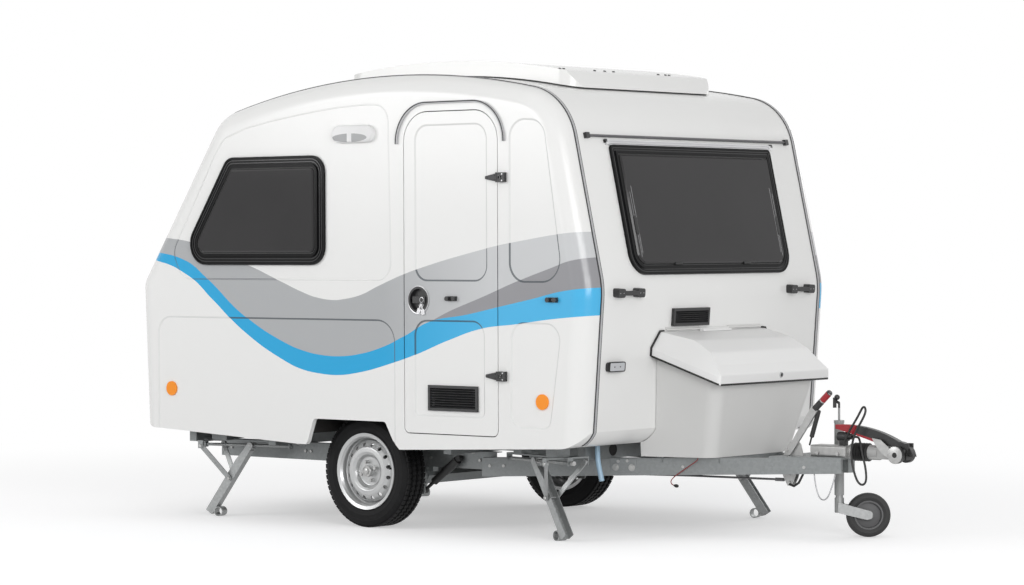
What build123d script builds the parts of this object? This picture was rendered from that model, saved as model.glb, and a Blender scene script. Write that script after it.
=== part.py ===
"""Travel caravan: a small two-berth trailer caravan with a moulded two-box body, a pop-top roof,
a front locker, a braked single axle, an A-frame drawbar, a jockey wheel and four corner steadies.

Millimetres. +X is forward (the way it is towed), +Y is its left side, +Z is up. The origin is on the
ground under the middle of the body and drawbar together.
"""
from build123d import *
import math
import os

os.makedirs("parts", exist_ok=True)

# Driving dimensions
WIDTH = 2050            # over the side walls
WALL = 30               # sandwich wall, the same in roof, floor and door
SEAM_Y = 918            # where the side mouldings meet the middle one
CORNER_R = WIDTH / 2 - SEAM_Y
AXLE_X = -610
TYRE_R = 290
TYRE_W = 165
TRACK_HALF = 800        # middle of the tyre
FLANGE_R = 197          # rim edge
JOINT_GAP = 5           # round doors and lids

# Side view of the body, from below the skirt round over the roof: x, z, corner radius
SKIN_FOOT = 200
OUTLINE = [
    (897, SKIN_FOOT, 0),
    (980, 1247, 400),       # front belt
    (770, 2180, 320),       # brow
    (-1543, 2138, 230),     # top of the tail
    (-2139, 1261, 118),     # rear belt
    (-2092, SKIN_FOOT, 0),
]
ROOF_TOP = (-287, 2310.4)

# The skirt cuts the outline off below: x, z, corner radius
SKIRT = [
    (1005, 1250, 0),
    (928, 471, 150),
    (-226, 424, 0),
    (-954, 427, 0),
    (-2112, 482, 115),
    (-2150, 1300, 0),
    (-2400, 1300, 0),
    (-2400, 2600, 0),
    (1300, 2600, 0),
    (1300, 1250, 0),
]
WHEEL_ARCH = [(-932, 380, 0), (-880, 440, 40), (-836, 561, 25), (-341, 561, 25), (-290, 470, 60), (-196, 380, 0)]
WHEEL_BOX = (-940, -280, 680, 655)      # x from, x to, inner y, top z
BOX_SKIN = 8
FLOOR = (-1990, 830, 478, 508)          # x from, x to, foot z, top z

# Door in the right side wall
DOOR = (-207, 412, 508, 2121)           # x from, x to, z from, z to, at the edge of its opening
DOOR_TOP_R = 155
DOOR_FOOT_R = 35
HINGE_PIN = (420, -1041)
HINGE_Z = (809, 1783)

# Side windows, outer edge of the frame: x, z, corner radius
SIDE_WINDOW = [(-1437, 1916, 80), (-741, 1916, 90), (-741, 1352, 95), (-1812, 1352, 112)]
FRAME_W = 78
FRAME_PROUD = 14
FRAME_LAP = 25          # how far the frame laps over the wall
PANE_BACK = 5           # the pane is a bulged acrylic unit that closes on the frame from outside
PANE_FACE = 26

# End windows on their leaning panels: half width, height from, height to, foot and top corner radius
FRONT_WINDOW = (676, 56, 710, 112, 24)
FRONT_FRAME_W = 64
REAR_WINDOW = (600, 160, 690, 85, 85)


def polygon(points):
    """A face from a list of x, y, corner radius."""
    face = make_face(Polyline(*[(x, y) for x, y, r in points], close=True))
    return rounded(face, points)


def rounded(face, points):
    for x, y, r in points:
        if r:
            corner = face.vertices().sort_by_distance((x, y, 0))[0]
            face = fillet(corner, r)
    return face


def upright(face, half):
    """A side-view face made as thick as the body, both ways from the middle."""
    return extrude(Plane.XZ * face, amount=half, both=True)


def side_face():
    corners = [(x, z) for x, z, r in OUTLINE]
    edges = [
        Line(corners[0], corners[1]),
        Line(corners[1], corners[2]),
        ThreePointArc(corners[2], ROOF_TOP, corners[3]),
        Line(corners[3], corners[4]),
        Line(corners[4], corners[5]),
        Line(corners[5], corners[0]),
    ]
    return rounded(make_face(edges), OUTLINE)


def hull(inset):
    """The body as one solid, drawn in by inset, its side edges rounded and its foot cut to the skirt."""
    face = side_face()
    skirt = polygon(SKIRT)
    if inset:
        face = offset(face, amount=-inset, kind=Kind.INTERSECTION)
        skirt = offset(skirt, amount=-inset, kind=Kind.INTERSECTION)
    half = WIDTH / 2 - inset
    block = upright(face, half)
    foot = SKIN_FOOT + inset + 1
    rims = [e for e in block.edges() if abs(abs(e.center().Y) - half) < 1 and e.center().Z > foot]
    block = fillet(rims, CORNER_R - inset)
    return block & upright(skirt, WIDTH)


def box(x0, x1, y0, y1, z0, z1):
    return Pos((x0 + x1) / 2, (y0 + y1) / 2, (z0 + z1) / 2) * Box(x1 - x0, y1 - y0, z1 - z0)


def rod(start, end, radius):
    """A round bar between two points."""
    start, end = Vector(start), Vector(end)
    run = end - start
    return Plane(origin=start, z_dir=run) * Cylinder(radius, run.length, align=(Align.CENTER, Align.CENTER, Align.MIN))


def tube(start, end, radius, bore):
    start, end = Vector(start), Vector(end)
    run = (end - start).normalized()
    return rod(start, end, radius) - rod(start - run, end + run, bore)


def mirrored(shape):
    return mirror(shape, about=Plane.XZ)


def save(name, *shapes):
    """Write one node. Shapes of one call are joined where they touch and stay apart where they don't."""
    solids = []
    for shape in shapes:
        solids += shape.solids()
    export_step(Compound(children=solids) if len(solids) > 1 else solids[0], f"parts/{name}.step")
    print(name, len(solids))


# ---------------------------------------------------------------- body

def leaning(foot, top, outward):
    """A plane on a leaning end panel: x across the body, y up the panel, z outwards."""
    up = Vector(top[0] - foot[0], 0, top[1] - foot[1]).normalized()
    out = Vector(up.Z, 0, -up.X) * outward
    return Plane(origin=(foot[0], 0, foot[1]), x_dir=up.cross(out), z_dir=out)


FRONT_PANEL = leaning(OUTLINE[1][:2], OUTLINE[2][:2], 1)
REAR_PANEL = leaning(OUTLINE[4][:2], OUTLINE[3][:2], -1)
RIGHT_WALL = Plane(origin=(0, -WIDTH / 2, 0), x_dir=(1, 0, 0), z_dir=(0, -1, 0))


def layer(plane, face, z0, z1):
    return extrude(plane.offset(z0) * face, amount=z1 - z0)


def inset_face(face, amount):
    return offset(face, amount=-amount, kind=Kind.ARC)


def window(plane, face, width=FRAME_W):
    """The hole, the frame and the pane of a window drawn on a wall's outer plane."""
    hole = layer(plane, inset_face(face, FRAME_LAP), -3 * WALL, WALL)
    flange = layer(plane, face - inset_face(face, width), 0, FRAME_PROUD - 5)
    flange += layer(plane, face - inset_face(face, 10), FRAME_PROUD - 5, FRAME_PROUD)       # outer lip
    flange += layer(plane, inset_face(face, width - 34) - inset_face(face, width - 20), FRAME_PROUD - 5, FRAME_PROUD + 4)
    sleeve = layer(plane, inset_face(face, FRAME_LAP) - inset_face(face, FRAME_LAP + 14), -WALL, 0)
    edge = inset_face(face, width - 12)
    pane = layer(plane, edge, PANE_BACK, PANE_FACE - 7)
    pane += loft([plane.offset(PANE_FACE - 7) * edge, plane.offset(PANE_FACE) * inset_face(edge, 8)])
    return hole, flange + sleeve - pane, pane


def end_window_face(half, y0, y1, foot_r, top_r):
    return polygon([(-half, y0, foot_r), (half, y0, foot_r), (half, y1, top_r), (-half, y1, top_r)])


# Panels pressed into the side walls: x, z, corner radius
PRESS_DEPTH = 4
PRESS_SLOPE = 9
FORWARD_UPPER = [(480, 1268, 100), (822, 1268, 115), (702, 2062, 95), (482, 2074, 95)]
FORWARD_LOWER = [(484, 556, 80), (738, 556, 50), (816, 1075, 90), (492, 1076, 80)]
REAR_LOWER = [(-1976, 300, 20), (-267, 300, 20), (-267, 1078, 120), (-1976, 1078, 90)]   # runs out below the skirt
DOOR_UPPER = [(-133, 1272, 80), (342, 1272, 80), (342, 2055, 80), (-133, 2055, 80)]
DOOR_LOWER = [(-137, 597, 30), (325, 597, 30), (325, 1080, 80), (-137, 1080, 80)]


def pressing(points):
    """The cut that leaves a shallow panel with sloping edges in the right side wall."""
    face = polygon(points)
    grow = PRESS_SLOPE / PRESS_DEPTH
    return loft([RIGHT_WALL.offset(-PRESS_DEPTH) * inset_face(face, PRESS_SLOPE),
                 RIGHT_WALL.offset(1) * inset_face(face, -grow)])


def door_face(inset):
    x0, x1, z0, z1 = DOOR
    x0, x1, z0, z1 = x0 + inset, x1 - inset, z0 + inset, z1 - inset
    foot, top = DOOR_FOOT_R - inset, DOOR_TOP_R - inset
    return polygon([(x0, z0, foot), (x1, z0, foot), (x1, z1, top), (x0, z1, top)])


ROOF_HOLE = (-905, 440, 545)            # x from, x to, half width
LID = (-960, 495, 605)                  # pop-top lid: x from, x to, half width
LID_RISE = 84                           # its top above the roof skin
LID_GAP = 8                             # between roof skin and the lid's rim
LID_SKIN = 22
LID_NOSE = 56                           # how far its front edge slopes out to its foot


def roof_band(low, high):
    """A sheet that follows the roof's curve, from low to high above its skin, over the whole width."""
    x0, z0 = OUTLINE[2][:2]
    x1, z1 = OUTLINE[3][:2]
    top = ThreePointArc((x0, z0 + high), (ROOF_TOP[0], ROOF_TOP[1] + high), (x1, z1 + high))
    foot = ThreePointArc((x0, z0 + low), (ROOF_TOP[0], ROOF_TOP[1] + low), (x1, z1 + low))
    face = make_face([top, foot, Line(top @ 0, foot @ 0), Line(top @ 1, foot @ 1)])
    return upright(face, WIDTH / 2)


def plan_block(x0, x1, half, radius):
    """A tall block over the roof, with upright rounded corners."""
    block = box(x0, x1, -half, half, 2000, 2600)
    return fillet(block.edges().filter_by(Axis.Z), radius)


def make_body():
    outer, inner = hull(0), hull(WALL)
    shell = outer - inner
    side_hole, side_frame, side_pane = window(RIGHT_WALL, polygon(SIDE_WINDOW))
    front_hole, front_frame, front_pane = window(FRONT_PANEL, end_window_face(*FRONT_WINDOW), FRONT_FRAME_W)
    rear_hole, rear_frame, rear_pane = window(REAR_PANEL, end_window_face(*REAR_WINDOW))

    inside = WIDTH / 2 - WALL
    x0, x1, z0, z1 = FLOOR
    under = box(x0, x1, -inside, inside, 300, z1 + 12)
    floor = box(x0, x1, -inside, inside, z0, z1)
    arches = upright(polygon(WHEEL_ARCH), WIDTH)
    arch_hole = arches - box(-3000, 3000, -inside, inside, 0, 2600)
    x0, x1, y0, top = WHEEL_BOX
    well = box(x0, x1, -inside, -y0, 300, top)
    hood = box(x0 - BOX_SKIN, x1 + BOX_SKIN, -inside, -y0 + BOX_SKIN, FLOOR[2], top + BOX_SKIN) - well
    floor = floor - well - mirrored(well) + hood + mirrored(hood)

    walls = shell - under - arch_hole - side_hole - mirrored(side_hole) - front_hole - rear_hole
    x0, x1, half = ROOF_HOLE
    walls -= plan_block(x0, x1, half, 90)
    middle = box(-3000, 3000, -SEAM_Y, SEAM_Y, 0, 2600)
    right = box(-3000, 3000, -2000, -SEAM_Y, 0, 2600)
    centre = walls & middle
    side = walls & right
    for points in (FORWARD_UPPER, FORWARD_LOWER, REAR_LOWER):
        side -= pressing(points)
    door_hole = upright(door_face(0), WIDTH) & box(-3000, 3000, -2000, -SEAM_Y, 0, 2600)
    door = shell & (upright(door_face(JOINT_GAP), WIDTH) & right)
    for points in (DOOR_UPPER, DOOR_LOWER):
        door -= pressing(points)

    save("side_shell_right", side - door_hole)
    save("side_shell_left", mirrored(side))
    save("centre_shell", centre)
    save("floor_panel", floor)
    save("window_frames", side_frame, mirrored(side_frame), front_frame, rear_frame)
    save("window_panes", side_pane, mirrored(side_pane), front_pane, rear_pane)
    make_door_fittings(door)


def make_roof_lid():
    x0, x1, half = LID
    ends = [(x0 - 24, 2150, 0), (x1 + LID_NOSE, 2150, 0), (x1 + LID_NOSE, 2242, 0), (x1, 2322, 0), (x1, 2500, 0), (x0, 2500, 0), (x0, 2290, 0), (x0 - 24, 2220, 0)]
    block = roof_band(LID_GAP, LID_RISE) & plan_block(x0 - 24, x1 + LID_NOSE, half, 110) & upright(polygon(ends), half)
    hollow = roof_band(0, LID_RISE - LID_SKIN)
    hollow &= plan_block(x0 + LID_SKIN, x1 - LID_SKIN, half - LID_SKIN, 90)
    save("roof_lid", block - hollow)

    # the upstand round the roof opening, on which the lid's seal rests
    x0, x1, half = ROOF_HOLE
    ring = plan_block(x0 - 25, x1 + 25, half + 25, 110) - plan_block(x0, x1, half, 90)
    save("roof_frame", roof_band(0, LID_RISE - LID_SKIN - 26) & ring)
    fold = plan_block(x0 - 8, x1 + 8, half + 8, 96) - plan_block(x0 + 4, x1 - 4, half - 4, 88)
    save("roof_canvas", roof_band(LID_RISE - LID_SKIN - 26, LID_RISE - LID_SKIN) & fold)


# ---------------------------------------------------------------- front locker

LOCKER_RIM = (1308, 458, 425)           # x at the front, half width at the wall, at the front, at the rim
LOCKER_FOOT = (1208, 438, 346)
LOCKER_BACK = 840
LOCKER_FOOT_Z = 402
LOCKER_SKIN = 7
RIM_BACK_Z = 903
RIM_FRONT_Z = 774
LID_FRONT = (1346, 472)                 # x, half width at its front skirt
LID_BACK_HALF = 512
LID_SIDE = [(930, 911, 0), (1346, 767, 0), (1350, 815, 12), (1303, 862, 30), (1255, 922, 60), (1150, 981, 90),
            (960, 1022, 0), (930, 1022, 0)]
LID_CHAMFER = ((955, -507, 943), (12005, -33188, 25653))    # a point on each end's sloping facet, its outward normal
LID_HINGE = (971, 1031)                 # x, z
HINGE_HALF = (120, 400)                 # the lid's own knuckle, and how far the fixed ones reach


def locker_plan(size, grow):
    x, back, front = size
    return polygon([(LOCKER_BACK - grow, -back - grow, 0), (x + grow, -front - grow, 75 + grow),
                    (x + grow, front + grow, 75 + grow), (LOCKER_BACK - grow, back + grow, 0)])


def locker_block(grow):
    """The tub as a solid, drawn out by grow."""
    top_z = 1000
    rise = (top_z - LOCKER_FOOT_Z) / (RIM_FRONT_Z - LOCKER_FOOT_Z)
    top = [foot + (rim - foot) * rise for foot, rim in zip(LOCKER_FOOT, LOCKER_RIM)]
    return loft([Pos(0, 0, LOCKER_FOOT_Z - grow) * locker_plan(LOCKER_FOOT, grow), Pos(0, 0, top_z) * locker_plan(top, grow)])


def lid_block(inset):
    """The lid's outer form, drawn in by inset: a trapezoid in plan with faceted ends."""
    side = polygon(LID_SIDE)
    if inset:
        side = offset(side, amount=-inset, kind=Kind.INTERSECTION)
        side += polygon([(930, 895, 0), (1346 - inset, 750, 0), (1346 - inset, 790, 0), (950, 930, 0)])
    x, half = LID_FRONT
    plan = polygon([(900, -LID_BACK_HALF + inset, 0), (x + 4 - inset, -half + inset, 22), (x + 4 - inset, half - inset, 22),
                    (900, LID_BACK_HALF - inset, 0)])
    block = upright(side, 600) & extrude(Pos(0, 0, 600) * plan, amount=600)
    point, normal = LID_CHAMFER
    facet = Plane(origin=point, z_dir=normal).offset(-inset)
    return block - mirror_pair(facet)


def make_locker():
    skin, outer, backing, wall = hull(0), hull(-3), hull(-5), hull(-6)
    rim_cut = upright(polygon([(800, RIM_BACK_Z + 42, 0), (935, RIM_BACK_Z, 0), (1308, RIM_FRONT_Z, 0),
                               (1600, RIM_FRONT_Z - 40, 0), (1600, 1500, 0), (800, 1500, 0)]), 900)
    tub = locker_block(0) - locker_block(-LOCKER_SKIN) - rim_cut
    x, z = LID_HINGE
    inner, end = HINGE_HALF
    knuckles = []
    for side in (-1, 1):                        # the lid's fixed hinge leaves on the wall
        y0, y1 = sorted((side * (inner + 2), side * end))
        leaf = (box(930, x, y0, y1, z - 2, z + 12) & backing) - skin
        knuckles.append(leaf + rod((x, y0, z), (x, y1, z), 5))
    save("locker_tub", tub - outer, *knuckles)

    lid = lid_block(0) - lid_block(6) - wall
    lid += rod((x, -inner, z), (x, inner, z), 5) + (box(x - 1, x + 22, -inner, inner, z - 14, z - 3) - wall)
    save("locker_lid", lid)


def mirror_pair(plane):
    """The half spaces that chamfer the upper edges of the lid's two ends."""
    slab = plane * Pos(0, 0, 500) * Box(2000, 2000, 1000)
    return slab + mirrored(slab)


# ---------------------------------------------------------------- chassis and drawbar

RAIL_Y = 600
RAIL_Z = (310, 402)
RAIL_X = (-1900, 60)
SECTION_W = 44
SECTION_SKIN = 4
BEAM_FRONT = (1773, 62, 333, 409)       # x, y, foot z, top z of a drawbar beam's outer face
BEAM_BACK = (20, 690, 280, 376)
BEARERS = [(-1840, RAIL_Z[1]), (-1250, RAIL_Z[1]), (-30, RAIL_Z[1])]    # x, foot z
BEAM_BEARERS = [(330, 381), (640, 386.5)]
BEARER_W = 50


def beam():
    """The right drawbar beam: a channel open inwards, deeper at the back than at the coupling."""
    xf, yf, zf0, zf1 = BEAM_FRONT
    xb, yb, zb0, zb1 = BEAM_BACK
    length = math.hypot(xf - xb, yf - yb)
    turn = math.degrees(math.atan2(yf - yb, xb - xf))
    s = SECTION_SKIN
    outer = polygon([(0, zf0, 0), (length, zb0, 0), (length, zb1, 0), (0, zf1, 0)])
    inner = polygon([(-1, zf0 + s, 0), (length + 1, zb0 + s, 0), (length + 1, zb1 - s, 0), (-1, zf1 - s, 0)])
    block = extrude(Plane.XZ * outer, amount=SECTION_W)
    block -= Pos(0, s - SECTION_W, 0) * extrude(Plane.XZ * inner, amount=SECTION_W)
    return Pos(xf, -yf, 0) * Rot(0, 0, turn) * block


def beam_y(x):
    """Outer face of the right drawbar beam at x."""
    (x0, y0, _, _), (x1, y1, _, _) = BEAM_FRONT, BEAM_BACK
    return y0 + (x0 - x) * (y1 - y0) / (x0 - x1)


def make_chassis():
    x0, x1 = RAIL_X
    z0, z1 = RAIL_Z
    half = SECTION_W / 2
    s = SECTION_SKIN
    rail = box(x0, x1, -RAIL_Y - half, -RAIL_Y + half, z0, z1)
    rail -= box(x0 - 1, x1 + 1, -RAIL_Y - half + s, -RAIL_Y + half + 1, z0 + s, z1 - s)
    frame = rail + mirrored(rail)
    for x, foot in BEARERS:
        frame += box(x - BEARER_W / 2, x + BEARER_W / 2, -900, 900, foot, FLOOR[2])
    save("chassis_frame", frame)

    right = beam()
    right += box(22, x1, -RAIL_Y - half - 22, -RAIL_Y - half, 316, 372)     # gusset to the rail
    bars = right + mirrored(right)
    for x, foot in BEAM_BEARERS:
        bars += box(x - BEARER_W / 2, x + BEARER_W / 2, -660, 660, foot, FLOOR[2])
    for x in (905, 1180):                       # cross bars under the locker
        y = beam_y(x) - SECTION_SKIN
        bars += box(x - 20, x + 20, -y, y, 372, LOCKER_FOOT_Z)
    back, front = beam_y(1430) - 6, beam_y(1773) - 6
    plate = make_face(Polyline((1430, -back), (1773, -front), (1773, front), (1430, back), close=True))
    bars += extrude(Pos(0, 0, 401.5) * plate, amount=10.5)
    save("drawbar", bars)


# ---------------------------------------------------------------- axle and wheels

AXLE_TUBE = (-430, 265, 43)             # x, z, half its width over the flats
ARM_Y = (638, 670)                      # inner and outer face of the trailing arms
SPINDLE_R = 17
SHOCK = ((-405, 188), (-170, 362))      # x, z of its lower and upper eye
SHOCK_Y = 645
RIM_OFFSET = 30                         # mounting face outboard of the tyre's middle
VENT_HOLES = 16


def make_axle():
    x, z, flat = AXLE_TUBE
    side = flat / math.cos(math.pi / 6)
    hexagon = Plane(origin=(x, 0, z), x_dir=(1, 0, 0), z_dir=(0, -1, 0)) * RegularPolygon(side, 6)
    tube_half = ARM_Y[0]
    bar = extrude(hexagon, amount=tube_half, both=True)
    for y in (-RAIL_Y, RAIL_Y):                 # saddles under the rails
        bar += box(x - 60, x + 60, y - 20, y + 20, z + 20, RAIL_Z[0])
    save("axle_tube", bar)

    arm = polygon([(AXLE_X - 30, TYRE_R - 26, 24), (x + 36, z - 40, 30), (x + 42, z + 36, 36), (AXLE_X - 30, TYRE_R + 28, 26)])
    lug = polygon([(x - 30, z, 0), (SHOCK[0][0] - 20, SHOCK[0][1] - 18, 15), (SHOCK[0][0] + 20, SHOCK[0][1] - 18, 15),
                   (x + 36, z, 0)])
    thick = ARM_Y[1] - ARM_Y[0]
    arms = extrude(Plane.XZ.offset(ARM_Y[0]) * (arm + lug), amount=thick)
    arms -= box(SHOCK[0][0] - 60, SHOCK[0][0] + 60, -SHOCK_Y - 15, -ARM_Y[0] + 1, 150, SHOCK[0][1] + 46)
    stub = rod((AXLE_X, -ARM_Y[1], TYRE_R), (AXLE_X, -TRACK_HALF - 12, TYRE_R), SPINDLE_R)
    backing = rod((AXLE_X, -ARM_Y[1], TYRE_R), (AXLE_X, -ARM_Y[1] - 8, TYRE_R), 118)
    right = arms + stub + backing
    save("trailing_arms", right, mirrored(right))

    (x0, z0), (x1, z1) = SHOCK
    low, high = Vector(x0, -SHOCK_Y, z0), Vector(x1, -SHOCK_Y, z1)
    run = high - low
    body = rod(low + run * 0.03, low + run * 0.3, 9) + rod(low + run * 0.28, low + run * 0.62, 20)
    body += rod(low + run * 0.6, low + run * 0.95, 22)
    for eye in (low, high):
        body += rod(eye - Vector(0, 15, 0), eye + Vector(0, 15, 0), 16)
    body += rod(high - Vector(0, 15, 0), high + Vector(0, 23, 0), 7)
    save("shock_absorbers", body, mirrored(body))


def turned(profile, y):
    """A ring about the axle line, its profile given as radius, distance outboard from y."""
    face = polygon(profile)
    place = Plane(origin=(AXLE_X, -y, TYRE_R), x_dir=(0, 0, 1), z_dir=(1, 0, 0))
    return revolve(place * face, Axis((AXLE_X, 0, TYRE_R), (0, 1, 0)), 360)


TYRE_PROFILE = [(181, -60, 0), (205, -72, 20), (242, -TYRE_W / 2, 40), (282, -66, 22), (TYRE_R, -38, 60), (TYRE_R, 38, 60),
                (282, 66, 22), (242, TYRE_W / 2, 40), (205, 72, 20), (181, 60, 0)]
RIM_PROFILE = [(FLANGE_R, -74, 0), (FLANGE_R, -70, 0), (183, -66, 0), (180, -61, 0), (178, -36, 0), (162, -22, 0), (162, 14, 0),
               (178, 30, 0), (180, 61, 0), (183, 66, 0), (FLANGE_R, 70, 0), (FLANGE_R, 76, 0), (180, 72, 0), (172, 60, 0),
               (172, 32, 0), (156, 17, 0), (156, -25, 0), (172, -38, 0), (174, -62, 0), (179, -72, 0)]
DISC_PROFILE = [(158, 18, 0), (158, 36, 0), (142, 50, 0), (122, 62, 6), (100, 64, 8), (86, 56, 6), (74, RIM_OFFSET + 6, 6), (0, RIM_OFFSET + 6, 0),
                (0, -62, 0), (112, -62, 0), (112, RIM_OFFSET, 0), (80, RIM_OFFSET, 0), (92, 50, 6), (104, 57, 8), (120, 55, 6), (140, 42, 0),
                (151, 30, 0), (151, 18, 0)]


def make_wheels():
    tyre = turned(TYRE_PROFILE, TRACK_HALF)
    rim = turned(RIM_PROFILE, TRACK_HALF) + turned(DISC_PROFILE, TRACK_HALF)
    for k in range(VENT_HOLES):
        a = math.radians(360 / VENT_HOLES * (k + 0.5))
        x, z = AXLE_X + 139 * math.cos(a), TYRE_R + 139 * math.sin(a)
        rim -= rod((x, -TRACK_HALF - 20, z), (x, -TRACK_HALF - 80, z), 10)
    rim += rod((AXLE_X, -TRACK_HALF - RIM_OFFSET, TYRE_R), (AXLE_X, -TRACK_HALF - RIM_OFFSET - 34, TYRE_R), 28)
    for k in range(4):
        a = math.radians(90 * k + 20)
        x, z = AXLE_X + 50 * math.cos(a), TYRE_R + 50 * math.sin(a)
        rim += rod((x, -TRACK_HALF - RIM_OFFSET, z), (x, -TRACK_HALF - RIM_OFFSET - 20, z), 9)
    rim -= rod((AXLE_X, -TRACK_HALF - 16, TYRE_R), (AXLE_X, -TRACK_HALF + 70, TYRE_R), SPINDLE_R + 0.5)
    for name, shape in (("tyre", tyre), ("rim", rim)):
        save(name + "_right", shape)
        save(name + "_left", mirrored(shape))


# ---------------------------------------------------------------- coupling, brake lever, jockey wheel

SHAFT_Z = 440
BALL = (2082, 424)                      # x, z of the middle of the 50 mm ball
BALL_R = 25.2
JOCKEY = (1613, 164)                    # x, y of the upright tube
JOCKEY_TURN = 39.7                      # the castor's heading as parked
JOCKEY_TRAIL = 143
JOCKEY_R = 110


def make_coupling():
    housing = box(1590, 1795, -54, 54, 412, 468)
    housing = fillet(housing.edges().filter_by(Axis.X), 12)
    housing += rod((1795, 0, SHAFT_Z), (1812, 0, SHAFT_Z), 38)
    housing += rod((1690, 0, SHAFT_Z), (1960, 0, SHAFT_Z), 25)
    save("overrun_unit", housing)

    folds = 6
    pitch = 92 / folds
    points = [(0, 25.6)]
    for k in range(folds):
        points += [(k * pitch + 2, 33), (k * pitch + pitch / 2, 45), (k * pitch + pitch - 2, 33)]
    points += [(folds * pitch, 25.6)]
    face = make_face(Polyline(*points, close=True))
    boot = revolve(Plane(origin=(1813, 0, SHAFT_Z), x_dir=(1, 0, 0), z_dir=(0, -1, 0)) * face,
                   Axis((0, 0, SHAFT_Z), (1, 0, 0)), 360)
    save("drawbar_boot", boot)

    x, z = BALL
    head = box(1915, x, -30, 30, 411, 466) + rod((x, 0, 411), (x, 0, 462), 44)
    head += box(x, x + 44, -26, 26, 411, 448)
    for side in (-1, 1):
        y0, y1 = sorted((side * 17, side * 24))
        head += box(x + 14, x + 54, y0, y1, 440, 492)
    head += rod((1906, 0, SHAFT_Z), (1960, 0, SHAFT_Z), 36)
    head -= rod((1900, 0, SHAFT_Z), (1962, 0, SHAFT_Z), 25.3)
    head -= Pos(x, 0, z) * Sphere(BALL_R) + rod((x, 0, 380), (x, 0, z), BALL_R)
    for side in (-1, 1):
        head += rod((x, side * 36, z + 12), (x, side * 60, z + 12), 42)     # friction pad housings
    head -= Pos(x, 0, z) * Sphere(BALL_R)
    save("coupling_head", head)

    nose = ThreePointArc((2158, 428), (2138, 470), (2078, 499))
    top = ThreePointArc(nose @ 1, (1930, 552), (1712, 569))
    foot = ThreePointArc((1712, 549), (1850, 516), (1968, 482))
    under = Polyline(foot @ 1, (2060, 472), (2126, 466), (2134, 452), (2134, 428), nose @ 0)
    grip = make_face([nose, top, Line(top @ 1, foot @ 0), foot, under])
    save("coupling_handle", upright(grip, 16) + rod((x + 30, -17, 475), (x + 30, 17, 475), 6))


def make_brake_lever():
    y = -78
    arm = polygon([(1455, 415, 10), (1490, 415, 10), (1650, 636, 0), (1634, 660, 0), (1618, 660, 0)])
    lever = extrude(Plane.XZ.offset(-y - 6) * arm, amount=12)
    lever += rod((1630, y, 642), (1722, y, 728), 15)
    quadrant = polygon([(1440, 412, 0), (1560, 412, 0), (1540, 490, 30), (1480, 480, 20)])
    lever += extrude(Plane.XZ.offset(-y - 12) * quadrant, amount=5)
    lever += rod((1470, y - 12, 440), (1470, y + 14, 440), 8)
    save("brake_lever", lever)


def make_jockey():
    x, y = JOCKEY
    outer = tube((x, y, 208), (x, y, 572), 24, 21.6)
    outer += rod((x, y, 566), (x, y, 579), 26)
    outer += rod((x, y, 575), (x, y, 664), 5.5)
    outer += rod((x, y, 664), (x - 26, y, 676), 7) + rod((x - 26, y, 640), (x - 26, y, 690), 9)
    outer += Pos(x - 12, y, 692) * Sphere(14)
    save("jockey_outer", outer)
    clamp = tube((x, y, 335), (x, y, 405), 32, 24.4)
    clamp += box(x - 30, x + 30, y - 46, y - 17, 340, 400) - rod((x, y, 300), (x, y, 450), 24.4) - mirrored(beam())
    save("jockey_clamp", clamp)

    inner = tube((x, y, 134), (x, y, 470), 18.5, 15.5) + rod((x, y, 134), (x, y, 142), 18.5)
    save("jockey_tube", inner)

    place = Pos(x, y, 0) * Rot(0, 0, JOCKEY_TURN)
    fork = tube((0, 0, 128), (0, 0, 196), 23.5, 19) + rod((0, 0, 122), (0, 0, 133), 23.5)
    plate = polygon([(-10, 122, 8), (JOCKEY_TRAIL - 10, 88, 0), (JOCKEY_TRAIL + 16, 96, 12), (JOCKEY_TRAIL + 18, 128, 16),
                     (0, 172, 0), (-10, 172, 0)])
    for side in (-1, 1):
        low = min(side * 38, side * 43)
        fork += extrude(Plane.XZ.offset(-low) * plate, amount=-5)
        fork += box(-10, 8, min(side * 20.5, side * 43), max(side * 20.5, side * 43), 124, 172)
    fork += rod((JOCKEY_TRAIL, -48, JOCKEY_R), (JOCKEY_TRAIL, 48, JOCKEY_R), 8)
    save("jockey_fork", place * fork)

    axis = Axis((JOCKEY_TRAIL, 0, JOCKEY_R), (0, 1, 0))
    side_plane = Plane(origin=(JOCKEY_TRAIL, 0, JOCKEY_R), x_dir=(0, 0, 1), z_dir=(1, 0, 0))
    tread = polygon([(72, -26, 0), (88, -32, 8), (108, -26, 10), (JOCKEY_R, 0, 60), (108, 26, 10), (88, 32, 8), (72, 26, 0)])
    hub = polygon([(8.5, -30, 0), (24, -30, 0), (24, -10, 0), (62, -6, 0), (64, -27, 0), (72, -27, 0), (72, 27, 0), (64, 27, 0),
                   (62, 6, 0), (24, 10, 0), (24, 30, 0), (8.5, 30, 0)])
    save("jockey_tyre", place * revolve(side_plane * tread, axis, 360))
    save("jockey_hub", place * revolve(side_plane * hub, axis, 360))


# ---------------------------------------------------------------- corner steadies

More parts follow.
